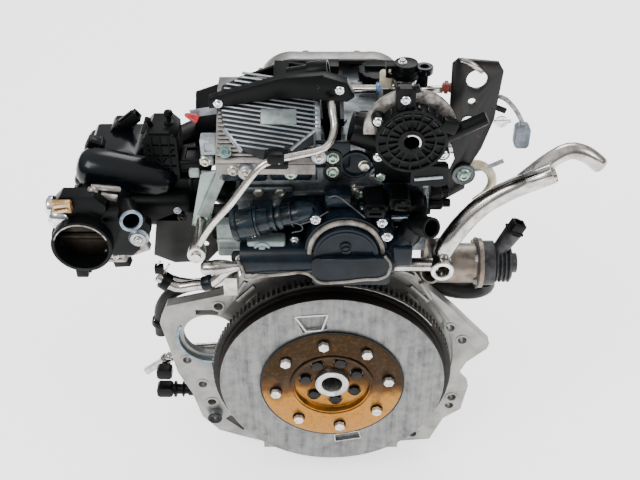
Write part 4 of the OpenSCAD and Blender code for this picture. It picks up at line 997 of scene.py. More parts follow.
@dataclass
class FlywheelEnd:
    """What is worked into the flywheel and round the drive plate; all of it turns with the crank."""

    face: float = -45.0
    gear_front: float = -26.8
    plate_edge: tuple = (86.4, 90, 1.6, 2.6)
    plate_bead: tuple = (49, 52.5, 3.4, 5.0)
    gear_shade_ring: tuple = (140.4, 149.6, 0, 1)
    guard_glint: tuple = (146.2, 147.2, 1, 1.5, 35, 50)
    line_tall: float = 1.4
    top_pocket: tuple = ((-44.6, 113), (-6, 116.5), (-12.6, 92), (-31.8, 90))
    low_pocket: tuple = ((4, -93), (35, -86.5), (38.5, -99.5), (5, -106.5))

    def ring(self, name: str, sizes: Point, depth: float, finish: Finish, width: float = 0.3) -> None:
        """Adds one ring or arc round the crank's axis.

        Args:
            name: the piece's name.
            sizes: its radii and heights, and an arc's start and sweep, as hoop takes them.
            depth: where it stands in Y.
            finish: its finish.
            width: rounding of its edges.
        """
        fit(hoop(name, *sizes, width=width), finish, (0, depth, 0), body="crank")

    def outline(self, name: str, corners: Sequence[Point], width: float) -> None:
        """Adds a raised, scratched line round a pocket.

        Args:
            name: the piece's name.
            corners: the pocket's corners as (x, z).
            width: the line's width in millimetres.
        """
        lines = bars(round_trip(upright(corners, self.face)), width, self.line_tall, 0.3)
        put(joined(name, lines), Finishes.TURNED, "crank")

    def build(self) -> None:
        """Adds the plate's dark edge and pressed bead, a ring of painted shade over the gear with a painted
        glint on it, and the pockets' lines.
        """
        self.ring("plate_edge", self.plate_edge, self.face, Finishes.OILED)
        self.ring("plate_bead", self.plate_bead, self.face, Finishes.GOLD, 1.2)
        # A dark ring over the starter gear's front: painted shade.
        self.ring("gear_shade_ring", self.gear_shade_ring, self.gear_front, Finishes.OILED)
        # A short bright arc on that ring: a painted glint.
        self.ring("guard_glint", self.guard_glint, self.gear_front, Finishes.TURNED, 0.1)
        self.outline("top_pocket_line", self.top_pocket, 2.2)
        self.outline("low_pocket_line", self.low_pocket, 1.2)


@dataclass
class BlockFace:
    """Cast ribs, tapped bosses and machined lands on the gearbox flange."""

    face: float = 0.0
    lands: tuple = ((-186, -2), (-169, -46), (148, 54), (165, 33), (-140, 90), (112, 104), (-159, -80),
                    (-104, -140), (160, -71), (112, -143))
    webs: tuple = (((-96, 141), (-60, 159)), ((-30, 166), (34, 166)), ((66, 157), (98, 140)),
                   ((-120, 104), (-104, 132)), ((120, 104), (106, 130)))
    bell_ribs: tuple = (((116, 100), (94, 124)), ((104, 96), (90, 112)))
    starter: tuple = (-154, 0, 37)
    dowel: tuple = (-156, 0, -102)

    def build(self) -> None:
        """Adds the lands round the flange's holes, the webs over the flywheel, and the dowel's sleeve."""
        lands = copies("flange_lands", hoop("land", 5.7, 8.6, 0, 0.7), upright(self.lands, self.face))
        put(lands, Finishes.BLOCK)
        cast("flange_webs", bars([upright(line, -2.2) for line in self.webs], 5, 4, 1), Finishes.BLOCK)
        fit(hoop("starter_lip", 39.2, 42, 0, 1.6, 150, 200), Finishes.BLUED, self.starter)
        fit(hoop("dowel_sleeve", 6.6, 9.4, 0, 9, width=0.6), Finishes.FINS, self.dowel)
        fit(hoop("dowel_seat", 6.2, 9.6, 9, 10), Finishes.OILED, self.dowel)
        ribs = [upright([(side * x, z) for x, z in line], -2) for side in (-1, 1) for line in self.bell_ribs]
        cast("bell_ribs", bars(ribs, 6, 3, 0.8), Finishes.BLOCK)


@dataclass
class IntakeSide:
    """The throttle's fittings and the moulded detail of the plenum and its brackets."""

    mouth: tuple = (-281, -46, 218.2)
    bore: float = 30.0
    screw_reach: float = 27.0
    gear_cap: tuple = ((12, 0), (12, 5), (9, 8), (4, 9.5))
    gear_caps: tuple = (((-313, -10, 236), Axis.LEFT), ((-311, -19, 256), Axis.LEFT),
                        ((-304, -30, 247), Axis.FRONT))
    pressure_block: Block = Block((-308, -39, 260), (-287, -30, 272))
    pressure_rail: Block = Block((-308, -40, 268), (-287, -33, 275), 0.8)
    block_bars: tuple = (((-306, -40.4, 262), (-290, -40.4, 266)), ((-305, -41, 270), (-290, -41, 273)))
    outlet: tuple = (-222.6, -41, 252.3)
    outlet_way: tuple = (10, -28, 4)
    boss: tuple = ((12, 0), (12, 8), (9, 10), (9, 12), (5, 12), (4.5, 9))
    stay_arm: Bar = Bar((-252, -16, 186), (-212, -18, 204), 16, 12, 2)
    stay_foot: Block = Block((-262, -26, 180), (-238, -8, 198), 2)
    stay_screws: tuple = ((-250, -25, 189), (-219, -36, 221))
    link: tuple = (Bar((-268, -12, 277), (-238, -4, 268), 5, 7, 1),
                   Bar((-262, -14, 268), (-240, -16, 264), 7, 5, 1))
    link_pin: tuple = ((6, 0), (6, 5), (3, 7))
    throttle_plugs: tuple = (("throttle_plug", (-289, -24, 186), (0, 0, -1), 24, 14, 20),
                             ("position_plug", (-250, -4, 176), (0.2, 0, -1), 20, 12, 16, 8))
    lid_low: tuple = (-301, 31, 240)
    lid_high: tuple = (-207, 145, 260)
    swell: tuple = ((1.2, 5), (2.6, 5), (4, 4), (5.5, 3.5), (7, 2.5), (8, 1.2))
    barrel: tuple = ((8, 0), (16, 2.5), (21.5, 8), (24.5, 17), (25.2, 36), (25.2, 70), (24, 96), (20, 108),
                     (12, 114))
    trunk: Block = Block((-264, 14, 199), (-160, 58, 241), 12, 4)
    lattice_low: tuple = (-216, 44, 240)
    lattice_high: tuple = (-178, 44, 312)
    ball_stud: tuple = ((6, 0), (6, 2), (2.6, 3), (2.6, 9), (4.6, 10.5), (5.6, 13), (4.6, 16), (2, 17.5))
    peg: tuple = ((3, 0), (3, 7), (4.4, 8), (3, 11))
    bridge: Block = Block((-178, 40, 262), (-140, 78, 276), 3)
    sensor_leads: tuple = (("sensor_lead_a", (-262, 104, 276), (0.78, 0, 0.62), 15, 13, 40, 90),
                           ("sensor_lead_b", (-270, 72, 274), (-0.86, -0.1, 0.45), 18, 14, 20))
    runner_bands: tuple = ((54.5, -0.03), (103, 0.25), (151, 0.5))

    def throttle(self) -> None:
        """Adds the worn lip, the screws, the gear cover, the tan pressure block and the outlet's rim."""
        x, y, z = self.mouth
        lip = hoop("throttle_lip", self.bore + 0.2, self.bore + 1.8, -0.2, 0.8, 20, 140)
        fit(lip, Finishes.WORN, self.mouth)
        reach = (-self.screw_reach, self.screw_reach)
        corners = [(x + across, -19, z + up) for across in reach for up in reach]
        put(copies("throttle_screws", screw(5, Head.SOCKET), corners), Finishes.ZINC)
        caps = [lay(turned("cap", self.gear_cap, 32, 0.5), at, way) for at, way in self.gear_caps]
        cast("gear_cover", caps, Finishes.CHROME)
        block = sink(self.pressure_block.build(), Axis.FRONT, 2.5, 1.5)
        cast("pressure_block", [block, self.pressure_rail], Finishes.TAN, 0.5)
        cast("block_bars", bars(self.block_bars, 3, 2), Finishes.CREAM)
        rim = hoop("outlet_rim", 9.2, 13, -0.4, 2.4, width=0.8)
        fit(rim, Finishes.SHEEN, self.outlet, self.outlet_way)
        fit(turned("throttle_boss", self.boss, 32, 0.5), Finishes.FINS, (-219, -24, 221))

    def stays(self) -> None:
        """Adds the stay under the throttle, the link over it and their plugs."""
        foot = sink(self.stay_foot.build(), Axis.FRONT, 3, 2)
        cast("throttle_stay", [self.stay_arm, foot], Finishes.WORN, 0.8)
        put(copies("stay_screws", screw(4.4), self.stay_screws), Finishes.ZINC)
        pin = lay(turned("link_pin", self.link_pin, 24), (-266, -14, 274), Axis.FRONT)
        cast("throttle_link", [*self.link, pin], Finishes.WORN)
        for plug in self.throttle_plugs:
            Connector(*plug).build()

    def lid(self) -> None:
        """Swells the plenum's lid into a smooth dome, and adds its seam, barrel and the trunk under it."""
        dome = boxed("plenum_lid", self.lid_low, self.lid_high, 10, 5)
        edit(dome, "FACE", everything=False)
        face_towards(dome, Axis.UP)
        for inset, rise in self.swell:
            bpy.ops.mesh.inset(thickness=inset * MM, depth=rise * MM)
        put(finish_edges(close(dome), 2.0, 3, 40), Finishes.GLOSS)
        fit(turned("plenum_barrel", self.barrel, 64, 1.2), Finishes.GLOSS, (-296, 46, 268), (1, 0, -0.24))
        x0, y0, _ = self.lid_low
        x1, y1, _ = self.lid_high
        seam = boxed("plenum_seam", (x0 - 3, y0 - 3, 232), (x1 + 3, y1 + 3, 237), 4, 3)
        put(finish_edges(seam, 0.8), Finishes.MOULDED)
        cast("runner_trunk", [self.trunk], Finishes.MOULDED, 0.8)
        put(copies("trunk_screws", screw(4.6), [(-180, 13.6, 226)]), Finishes.PALE)

    def lattice(self) -> None:
        """Adds the crossed ribs of the bracket box, its ball stud and clips."""
        left, front, low = self.lattice_low
        right, _, high = self.lattice_high
        ribs = [boxed("post", (x, front - 2.5, low + 4), (x + 2, front + 1, high - 4), 0.4)
                for x in (left + 8, left + 18, right - 10)]
        ribs += [boxed("rail", (left + 3, front - 2.5, z), (right - 3, front + 1, z + 2), 0.4)
                 for z in range(low + 12, high, 14)]
        ribs += [boxed("side", (left - 2.5, front + 4, z), (left + 1, front + 40, z + 2), 0.4)
                 for z in range(low + 26, high, 14)]
        ribs += bars([((start, front - 1, low + 8), (end, front - 1, low + 50))
                      for start, end in ((left + 4, right - 4), (right - 4, left + 4))], 2, 3)
        cast("bracket_ribs", ribs, Finishes.MOULDED)
        fit(turned("ball_stud", self.ball_stud, 24, 0.2), Finishes.MOULDED, (-188, 66, 311.5), Axis.UP)
        fit(turned("clip_peg", self.peg, 20, 0.2), Finishes.MOULDED, (-208, 60, 311.5), (-0.4, 0, 1))
        cast("runner_bridge", [sink(self.bridge.build(), Axis.UP, 4, 3)], Finishes.MOULDED, 0.8)
        for lead in self.sensor_leads:
            Connector(*lead).build()
        bands = [lay(hoop("band", 17.2, 19.4, 0, 5, width=0.6), (-168, depth, 235), (1, slope, 0))
                 for depth, slope in self.runner_bands]
        cast("runner_bands", bands, Finishes.MOULDED)

    def build(self) -> None:
        """Adds everything on the intake side."""
        self.throttle()
        self.stays()
        self.lid()
        self.lattice()


@dataclass
class CoolantUnit:
    """The coolant housing's rim, pads, clips, screws and the sensor barrel's bands."""

    dome: tuple = (14, -45, 213)
    rim: tuple = ((-107, -53, 206), (-101, -55, 190), (-102, -53, 180), (-79, -54.6, 184), (-54, -54.8, 187),
                  (-33, -55, 189), (-24, -57.5, 186), (-17, -58.6, 179), (4, -58.6, 178), (34, -58.6, 182),
                  (58, -58.4, 186), (63, -58, 196), (62, -58, 208), (57, -56, 214))
    ledges: tuple = (Bar((-15, -59, 211), (48, -59, 213), 3, 3.6, 1),
                     Block((66, -52, 196), (88, -38, 222), 2))
    washers: tuple = ((-24, 248), (54, 249), (70, 218), (-50, 243), (-72, 221), (62, 165), (-40, 161))
    pads: tuple = (Bar((28, -30, 262), (60, -30, 264), 8, 10, 1.5),
                   Bar((62, -30, 250), (84, -30, 251), 9, 12, 1.5),
                   Block((-10, -32, 262), (20, -8, 278), 3),
                   Bar((-44, -26, 252), (-20, -28, 264), 9, 12, 1.5))
    # Thin pale lines on the pads' fronts: painted highlights.
    pad_highlight_lines: tuple = (((30, -35.5, 264), (58, -35.5, 266)), ((64, -36.5, 252), (82, -36.5, 253)))
    bosses: tuple = ((-19.9, -20, 255), (53.2, -20, 250.7), (58.7, -28, 237.6), (-43.2, -8, 216.5))
    boss: tuple = ((8, 0), (8, 20), (6.6, 24))
    clips: tuple = (((-6, -44, 285), (2, -44, 287), (17, -47, 277), (34, -49, 262)),
                    ((-37, -46, 250), (-22, -45, 256), (-6, -43, 266)),
                    ((-47, -46, 255), (-34, -47, 246), (-46, -46, 239)))
    barrel: tuple = ((-112, -32, 238), (-22, -32, 259))
    bands: tuple = ((2, 16.8, 18.6, 5), (27, 14, 17.4, 3), (46, 11, 14.6, 3), (66, 11, 14, 2.5))
    clip_steps: tuple = (20, 23)
    plugs: tuple = (("coolant_plug_a", (45, -40, 266), (0, -1, 0.15), 20, 10, 10),
                    ("coolant_plug_b", (72, -36, 271), (0.3, -1, 0.1), 18, 10, 9))

    def cover(self) -> None:
        """Adds the worn rim over the dome and along the cover, the ledge and the small round mark."""
        fit(hoop("dome_rim", 38, 43.5, 0, 4.5, -12, 196, 1.6), Finishes.EDGE, self.dome)
        put(rod("cover_rim", self.rim, 1.7), Finishes.EDGE)
        fit(hoop("dome_step", 30, 33, 8.6, 10.4, 0, 180, 0.7), Finishes.SMOOTH, self.dome)
        cast("cover_ledges", self.ledges, Finishes.SMOOTH, 0.6)
        fit(hoop("cover_mark", 4.4, 6.6, 0, 1.4, width=0.4), Finishes.MOULDED, (13, -54.6, 226))

    def screws(self) -> None:
        """Adds dark washers under the housing's bolts, the pads they clamp with thin pale lines of painted
        highlight, and the raised bosses.
        """
        washer = hoop("washer", 6.4, 9.6, 0, 2.2, width=0.6)
        put(copies("housing_washers", washer, upright(self.washers, -12)), Finishes.OILED)
        cast("housing_pads", self.pads, Finishes.SMOOTH, 0.8)
        put(copies("raised_bosses", turned("boss", self.boss, 28, 0.6), self.bosses), Finishes.SMOOTH)
        tops = [(x, y - self.boss[-1][1], z) for x, y, z in self.bosses]
        put(copies("raised_screws", screw(6, Head.SOCKET), tops), Finishes.CHROME)
        cast("pad_highlight_lines", bars(self.pad_highlight_lines, 2, 1, 0.3), Finishes.SHEEN)

    def barrel_rings(self) -> None:
        """Adds the sensor barrel's bands and its bright clip."""
        start, end = (Vector(place) for place in self.barrel)
        way = (end - start).normalized()
        rings = [lay(hoop("band", inner, outer, 0, deep, width=0.6), start + way * step, way)
                 for step, inner, outer, deep in self.bands]
        cast("barrel_bands", rings, Finishes.BARREL)
        clip = [lay(hoop("clip", 17, 17.7, 0, 1.2, -60, 120, 0.2), start + way * step, way)
                for step in self.clip_steps]
        cast("barrel_clip", clip, Finishes.CHROME)

    def build(self) -> None:
        """Adds everything on the coolant side."""
        self.cover()
        self.screws()
        cast("wire_clips", [rod("wire", path, 0.8) for path in self.clips], Finishes.FORGED)
        self.barrel_rings()
        for plug in self.plugs:
            Connector(*plug).build()


@dataclass
class HeadFace:
    """Cast lands, webs and screws on the head's flywheel face, under the top fittings."""

    webs: tuple = (((-128, 196), (-96, 206)), ((-100, 268), (-46, 268)), ((-46, 262), (24, 266)),
                   ((24, 270), (100, 266)), ((96, 240), (104, 270)))
    bosses: tuple = ((52, 0, 286), (31, 0, 257), (145, 6, 283), (-27, 0, 319), (-48, 0, 296))
    head_screws: tuple = ((52, -3, 286), (31, -3, 257), (145, 3, 283), (-27, 0, 319))
    core_plug: tuple = ((17, 0), (17, 3), (14.5, 4), (13, 1.2), (4, 1.0))
    side_block: tuple = (Block((-134, -10, 176), (-84, 8, 222), 3),
                         Block((-134, -13, 198), (-90, -6, 203), 1.5),
                         Block((-132, -12, 186), (-92, -6, 189)))
    shelf: Block = Block((-97, -40, 204), (-54, -20, 221), 2.5)
    panel: tuple = (Block((72, -4, 262), (107, 4, 276), 2), Block((40, -5, 284), (108, 2, 288), 1.4))
    recesses: tuple = (Block((-22, -4, 296), (18, 2, 330), 2), Block((56, -6, 262), (100, 2, 280), 2))
    shelf_boss: tuple = ((9.5, 0), (9.5, 2), (7, 2.6), (6.4, 1.2), (4.4, 1.2), (4, 3.4), (2, 3.6))
    face_cup: tuple = ((17, 0), (17, 6), (14, 6), (13, 1.5))
    pair: tuple = ((-1, -4, 310), (-1, -4, 292))

    def face(self) -> None:
        """Adds the webs, the bosses with their screws, and the core plug."""
        cast("head_webs", bars([upright(line, -2) for line in self.webs], 7, 6, 1.4), Finishes.HEAD)
        put(copies("head_bosses", hoop("boss", 8.2, 13, 0, 4.5, width=1), self.bosses), Finishes.HEAD)
        put(copies("head_screws", screw(8), self.head_screws), Finishes.GREEN_ZINC)
        fit(turned("core_plug", self.core_plug, 40, 0.4), Finishes.FINS, (-88, -1, 184))

    def side(self) -> None:
        """Adds the grey side block with its ledges, its shelf, its arch and its screw."""
        cast("side_block", self.side_block, Finishes.GREY_CAST, 0.8)
        cast("side_shelf", [self.shelf], Finishes.GREY_CAST, 0.6)
        fit(turned("shelf_boss", self.shelf_boss, 36, 0.3), Finishes.GREY_CAST, (-80, -40, 212))
        fit(hoop("side_arch", 7, 12, 0, 5, 0, 180, 1), Finishes.GREY_CAST, (-88, -10, 198))
        put(copies("side_screw", screw(6), [(-82.8, -11, 226)]), Finishes.ZINC)

    def middle(self) -> None:
        """Adds the panel, the cup, the pair of ringed bolts and the dark pads behind them."""
        cast("head_panel", self.panel, Finishes.LEDGE, 0.8)
        fit(turned("face_cup", self.face_cup, 40, 0.5), Finishes.SMOOTH, (24, 0, 301))
        put(copies("bolt_rings", hoop("ring", 8, 11, 0, 2.4, width=0.6), self.pair), Finishes.OILED)
        put(copies("pair_screws", screw(7.8), [*self.pair, (-47, -9, 293)]), Finishes.GREEN_ZINC)
        cast("dark_pads", self.recesses, Finishes.SMOOTH, 0.6)

    def build(self) -> None:
        """Adds everything on the head's flywheel face."""
        self.face()
        self.side()
        self.middle()


@dataclass
class TopSide:
    """The finned cover's edges and screws, the bar's screws and the brackets round them."""

    foot: tuple = (-28, 316.2)
    crest: tuple = (40, 370.2)
    left_side: tuple = ((6, -76), (12, -98), (38, -118), (65, -122), (88, -118), (98, -100))
    right_side: tuple = ((6, -72), (14, -47), (40, -16), (72, -17), (88, -24), (98, -48))
    # Outline of the near-black sheet of painted shade under the fins.
    bed: tuple = ((-78, 5), (-70, 4), (-45, 8), (-22, 22), (-22, 80), (-46, 96), (-104, 97), (-121, 88),
                  (-124, 74), (-120, 45), (-100, 15))
    slant: float = 0.16
    centre: float = -68.0
    first_fin: float = 14.0
    last_fin: float = 98.0
    pitch: float = 5.2
    fin_lift: float = 8.8
    rim_lift: float = 8.4
    long_rims: tuple = (((-17, 38), (-18, 74)), ((-18, 73), (-25, 90)))
    short_rims: tuple = (((-17, 40), (-47, 14)), ((-98, 12), (-118, 38)))
    pad: Block = Block((-79, 42, 6.8), (-40, 60, 11.6), 1.2)
    side_pads: tuple = (Block((-124, -6, 279), (-74, 1, 303), 3), Block((-70, -9, 282), (-24, 1, 302), 3),
                        Block((-60, -14, 296), (-40, -2, 316), 2))
    ear: tuple = ((9, 0), (9, 12), (7.5, 14))
    ears: tuple = ((-94, -22, 310), (-16, -16, 326))
    pipe_clip: tuple = (Block((-74, -54, 327), (-48, -26, 336), 2),
                        Block((-70, -56, 334), (-52, -40, 346), 2),
                        Bar((-60, -30, 330), (-44, -14, 318), 18, 5, 1))
    pale_block: Block = Block((-145, -6, 314), (-127, 10, 334), 1.5)
    cap_strip: Bar = Bar((-158, 34, 343), (-127, 34, 348), 9, 3, 0.8)
    red_cap: tuple = ((5.5, 0), (5, 4), (2.6, 13), (1.4, 15))
    nuts: tuple = ((-141, -2, 304), (-108, -28, 309))
    lugs: tuple = (Block((-146, -2, 298), (-132, 6, 311), 2), Block((-161, 0, 280), (-149, 8, 290), 2),
                   Bar((-121, 3.5, 292), (-150, 3.5, 225), 13, 2.4, 0.8),
                   Block((-130, -2, 284), (-112, 6, 300), 2))
    bar_screws: tuple = ((-124, 12, 368), (6, 12, 384))
    bar_edge: tuple = ((-132, 14, 372.6), (-57, 14, 396), (-11, 14, 400.4))

    def edge_at(self, side: Sequence[Point], height: float) -> float:
        """Where the cover's side runs, at a height up its face.

        Args:
            side: (height, x) of the side's corners.
            height: the height up the face in millimetres.

        Returns:
            The place in X.
        """
        for (low, x0), (high, x1) in zip(side, side[1:]):
            if height <= high:
                return x0 + (x1 - x0) * (height - low) / (high - low)
        return side[-1][1]

    def on_cover(self, piece: Piece, finish: Finish, lift: float = 0.0) -> None:
        """Lays a piece, drawn with +Y up the cover's slope, on the cover's face and dresses it.

        Args:
            piece: the piece.
            finish: its finish.
            lift: how far it stands over the face in millimetres.
        """
        (y0, z0), (y1, z1) = self.foot, self.crest
        normal = Vector((0, z0 - z1, y1 - y0)).normalized()
        fit(piece, finish, Vector((0, y0, z0)) + normal * lift, normal)

    def fins(self) -> Piece:
        """The sloping fins, each as long as the cover is wide at its height."""
        lines, level = [], self.first_fin
        while level < self.last_fin:
            ends = self.edge_at(self.left_side, level + 7), self.edge_at(self.right_side, level - 7)
            lines.append([(x, level - self.slant * (x - self.centre), self.fin_lift) for x in ends])
            level += self.pitch
        return joined("cover_fins", bars(lines, 4, 2.5, 1.1))

    def rims(self) -> Piece:
        """The bright lines round the cover's corners."""
        long, short = ([[(x, y, self.rim_lift) for x, y in line] for line in lines]
                       for lines in (self.long_rims, self.short_rims))
        return joined("cover_rims", bars(long, 6, 3.4, 1.2) + bars(short, 5, 3, 1.2))

    def cover(self) -> None:
        """Adds the fins on a near-black bed of painted shade, the pad between them, the bright rim, the ears
        and the screws.
        """
        self.on_cover(sheet_cut("fin_shade_bed", self.bed, 1.2), Finishes.SHADE, 6.2)
        self.on_cover(self.fins(), Finishes.FINS)
        self.on_cover(finish_edges(joined("cover_pad", [self.pad.build()]), 0.5), Finishes.GREY_CAST)
        self.on_cover(self.rims(), Finishes.FINS)
        cast("cover_pads", self.side_pads, Finishes.SMOOTH, 0.8)
        put(copies("cover_ears", turned("ear", self.ear, 28, 0.6), self.ears), Finishes.FINS)
        tops = [(x, y - self.ear[-1][1], z) for x, y, z in self.ears]
        put(copies("cover_screws", screw(6, Head.SOCKET), tops), Finishes.ZINC)

    def brackets(self) -> None:
        """Adds the pipe's clip, the pale block, the teal screw, the red cap on its strip and the strut."""
        cast("pipe_clip", self.pipe_clip, Finishes.DIPPED, 0.6)
        cast("pale_block", [sink(self.pale_block.build(), Axis.FRONT, 3, 2)], Finishes.PALE, 0.6)
        put(copies("teal_screw", screw(7, Head.HEX, 0.9), [(-116, -26, 332)], (0, -1, 0.5)), Finishes.TEAL)
        cast("cap_strip", [self.cap_strip], Finishes.PALE)
        fit(turned("red_cap", self.red_cap, 24, 0.6), Finishes.RED, (-150, 28, 340), (-1, -0.2, 0.55))
        put(copies("strut_nuts", screw(6.5), self.nuts), Finishes.ZINC)
        cast("strut_lugs", self.lugs, Finishes.GREY_CAST, 0.6)

    def bar(self) -> None:
        """Adds the bar's screws and the folded lip along its upper edge."""
        put(copies("bar_screws", screw(5.2, Head.SOCKET), self.bar_screws), Finishes.CHROME)
        cast("bar_lip", bars(zip(self.bar_edge, self.bar_edge[1:]), 3, 3, 0.8), Finishes.DIPPED)

    def build(self) -> None:
        """Adds everything on top at the left."""
        self.cover()
        self.brackets()
        self.bar()


@dataclass
class RightSide:
    """Pipe ends, pale tubes and the actuator's detail on the exhaust side."""

    junction: tuple = (124, -46, 184)
    valve: tuple = (158, 14, 148)
    barb: tuple = ((7, 0), (7, 5), (4.5, 6), (5.6, 9), (4, 14), (2.6, 14), (2.4, 10))
    pale_tube: tuple = ((150, 12, 292), (168, 12, 288), (179, 12, 272), (176, 12, 254), (163, 12, 240))
    thin_tube: tuple = ((150, 10, 284), (170, 10, 288), (189, 10, 297))
    screw_circle: float = 25.5
    screw_angles: tuple = (200, 130, 40, 290)
    fins: tuple = (37, 42, 47, 52)
    port_a: tuple = ((9, 0), (9, 12), (6, 14), (6, 20), (4, 20), (3.6, 14))
    port_b: tuple = ((8, 0), (8, 14), (5, 16), (5, 24))
    can: tuple = ((10, 0), (10, 18), (8, 22), (5, 24))
    plug: tuple = ("actuator_plug", (212, 14, 194), (0.45, 0, 1), 17, 14, 16, 10)

    def build(self) -> None:
        """Adds the pipe's rim and barb, the pale tubes, and the actuator's screws, fins and plug."""
        fit(hoop("junction_rim", 8.2, 12.6, -0.3, 1.6, width=0.6), Finishes.CHROME, self.junction)
        fit(turned("vent_barb", self.barb, 24, 0.3), Finishes.CHROME, (93, -36, 244), (-0.2, -1, 0.3))
        put(rod("pale_tube", self.pale_tube, 5.2), Finishes.CREAM)
        put(rod("thin_tube", self.thin_tube, 2.6), Finishes.PALE)
        x, y, z = self.valve
        around = [(x + 13.2, y + self.screw_circle * math.cos(turn), z + self.screw_circle * math.sin(turn))
                  for turn in map(math.radians, self.screw_angles)]
        put(copies("valve_screws", screw(5), around, Axis.LEFT), Finishes.ZINC)
        rings = [lay(hoop("fin", 19.6, 23.5, 0, 2, width=0.5), (x + step, y, z), Axis.RIGHT)
                 for step in self.fins]
        rings.append(lay(hoop("edge", 29.6, 31, 0, 3, width=0.5), (x + 13, y, z), Axis.RIGHT))
        cast("actuator_fins", rings, Finishes.BURNT)
        Connector(*self.plug).build()
        ports = [lay(turned("port", profile, 24), place, Axis.RIGHT)
                 for profile, place in ((self.port_a, (109, 0, 262)), (self.port_b, (109, 4, 244)))]
        cast("side_ports", ports, Finishes.MOULDED)
        fit(turned("small_can", self.can, 32, 0.6), Finishes.CHROME, (122, 16, 314), Axis.RIGHT)


@dataclass
class Separator:
    """Screws, rings and the slot on the oil separator."""

    at: tuple = (79, -46, 358.2)
    lug_angles: tuple = (20, 150, 215, 330)
    rib_angles: range = range(35, 140, 15)

    def build(self) -> None:
        """Adds the lug screws, a bright arc at the centre as a painted highlight, the rim's ribs, the lower
        slot and the straps.
        """
        x, y, z = self.at
        lugs = round_about((x, y + 4, z), 40, self.lug_angles)
        put(copies("separator_screws", screw(5.4, Head.SOCKET), lugs), Finishes.CHROME)
        # A bright arc on one side of the centre: a painted highlight.
        fit(hoop("centre_highlight", 8.2, 10.2, 0, 1.6, -30, 150, 0.5), Finishes.ZINC, (x, y - 4, z))
        ribs = zip(*(round_about((x, y + 7, z), radius, self.rib_angles) for radius in (33, 38.6)))
        cast("separator_ribs", bars(ribs, 3, 12, 0.6), Finishes.GLOSS)
        fit(hoop("separator_groove", 30.4, 31.8, 0, 1.2, 20, 150), Finishes.GLOSS, self.at)
        put(beam("separator_slot", (x + 6, y + 1, 309), (x + 36, y + 1, 312), 3, 2), Finishes.PALE)
        put(copies("lug_screw", screw(5, Head.SOCKET), [(x - 8, y + 1.6, z + 46)]), Finishes.CHROME)
        straps = [beam("strap_a", (x - 10, y + 6, z + 52), (x + 6, y + 6, z + 58), 8, 5, 1),
                  beam("strap_b", (x + 30, y + 2, z + 20), (x + 46, y + 2, z + 14), 14, 12, 2)]
        cast("separator_straps", straps, Finishes.DIPPED)


@dataclass
class PumpTop:
    """The fuel pump's screw, eyelet and union, and the small plug beside it."""

    foot: tuple = (79, 58, 278.2)
    union: tuple = ((6.4, 0), (8, 1), (8, 10), (6.4, 11))
    plug: tuple = ("brown_plug", (118, 42, 372), (1, 0, -0.1), 9, 7, 20, 0, Finishes.BROWN)
    rail: tuple = (Bar((96, 46, 366), (120, 44, 368), 8, 6, 1.5),
                   Bar((98, 50, 352), (124, 48, 350), 5, 5, 1.5),
                   Block((90, 50, 330), (104, 66, 346), 2))

    def build(self) -> None:
        """Adds the cap's screw and eyelet, the blue union, the pale sleeve and the brown plug."""
        x, y, z = self.foot
        put(copies("cap_screw", screw(5.4, Head.SOCKET), [(x - 4, y, z + 115)], Axis.UP), Finishes.CHROME)
        eye = lay(hoop("cap_eye", 4, 10, 0, 9, width=1.6), (x + 20, y - 2, z + 103))
        neck = beam("cap_neck", (x + 6, y - 1, z + 107), (x + 15, y - 2, z + 107), 11, 8, 1.5)
        cast("cap_eyelet", [eye, neck], Finishes.GLOSS)
        fit(turned("blue_union", self.union, 6), Finishes.BLUE, (x - 32, y, z + 82), Axis.RIGHT)
        sleeve = Block((x - 28, y - 6, z + 78), (x - 14, y + 8, z + 104), 3)
        cast("pale_sleeve", [sleeve], Finishes.CREAM, 0.8)
        bands = [lay(hoop("band_low", 12.1, 13.4, 0, 3, width=0.5), (x, y, z + 60)),
                 lay(hoop("band_high", 12.1, 14.4, 0, 4, width=0.8), (x, y, z + 94))]
        cast("pump_bands", bands, Finishes.CHROME)
        Connector(*self.plug).build()
        cast("pump_rail", self.rail, Finishes.TUBE, 0.6)


@dataclass
class Lifting:
    """The lifting plate's rimmed hole, its lug and the earth lead's ring."""

    face: float = 6.0
    hook: tuple = ((130, 4, 424), (140, 2, 421), (151, 6, 412), (154, 13, 406))
    lug: Bar = Bar((168, 8, 368), (184, 9, 361), 6, 4, 1)
    tail: Bar = Bar((172, 5.2, 350), (190, 5.2, 351), 4, 3, 0.8)

    def build(self) -> None:
        """Adds the hole's rim, the hook, the lug and the ring terminal."""
        fit(hoop("plate_hole_rim", 4.6, 7.2, 0, 1), Finishes.CHROME, (144, self.face, 350))
        put(rod("plate_hook", self.hook, 3.2), Finishes.TUBE)
        cast("plate_lug", [self.lug], Finishes.DIPPED)
        eye = lay(hoop("eye", 3.4, 7, 0, 1.6, width=0.4), (180, 6, 350), Axis.FRONT)
        cast("ring_terminal", [eye, self.tail], Finishes.CHROME)


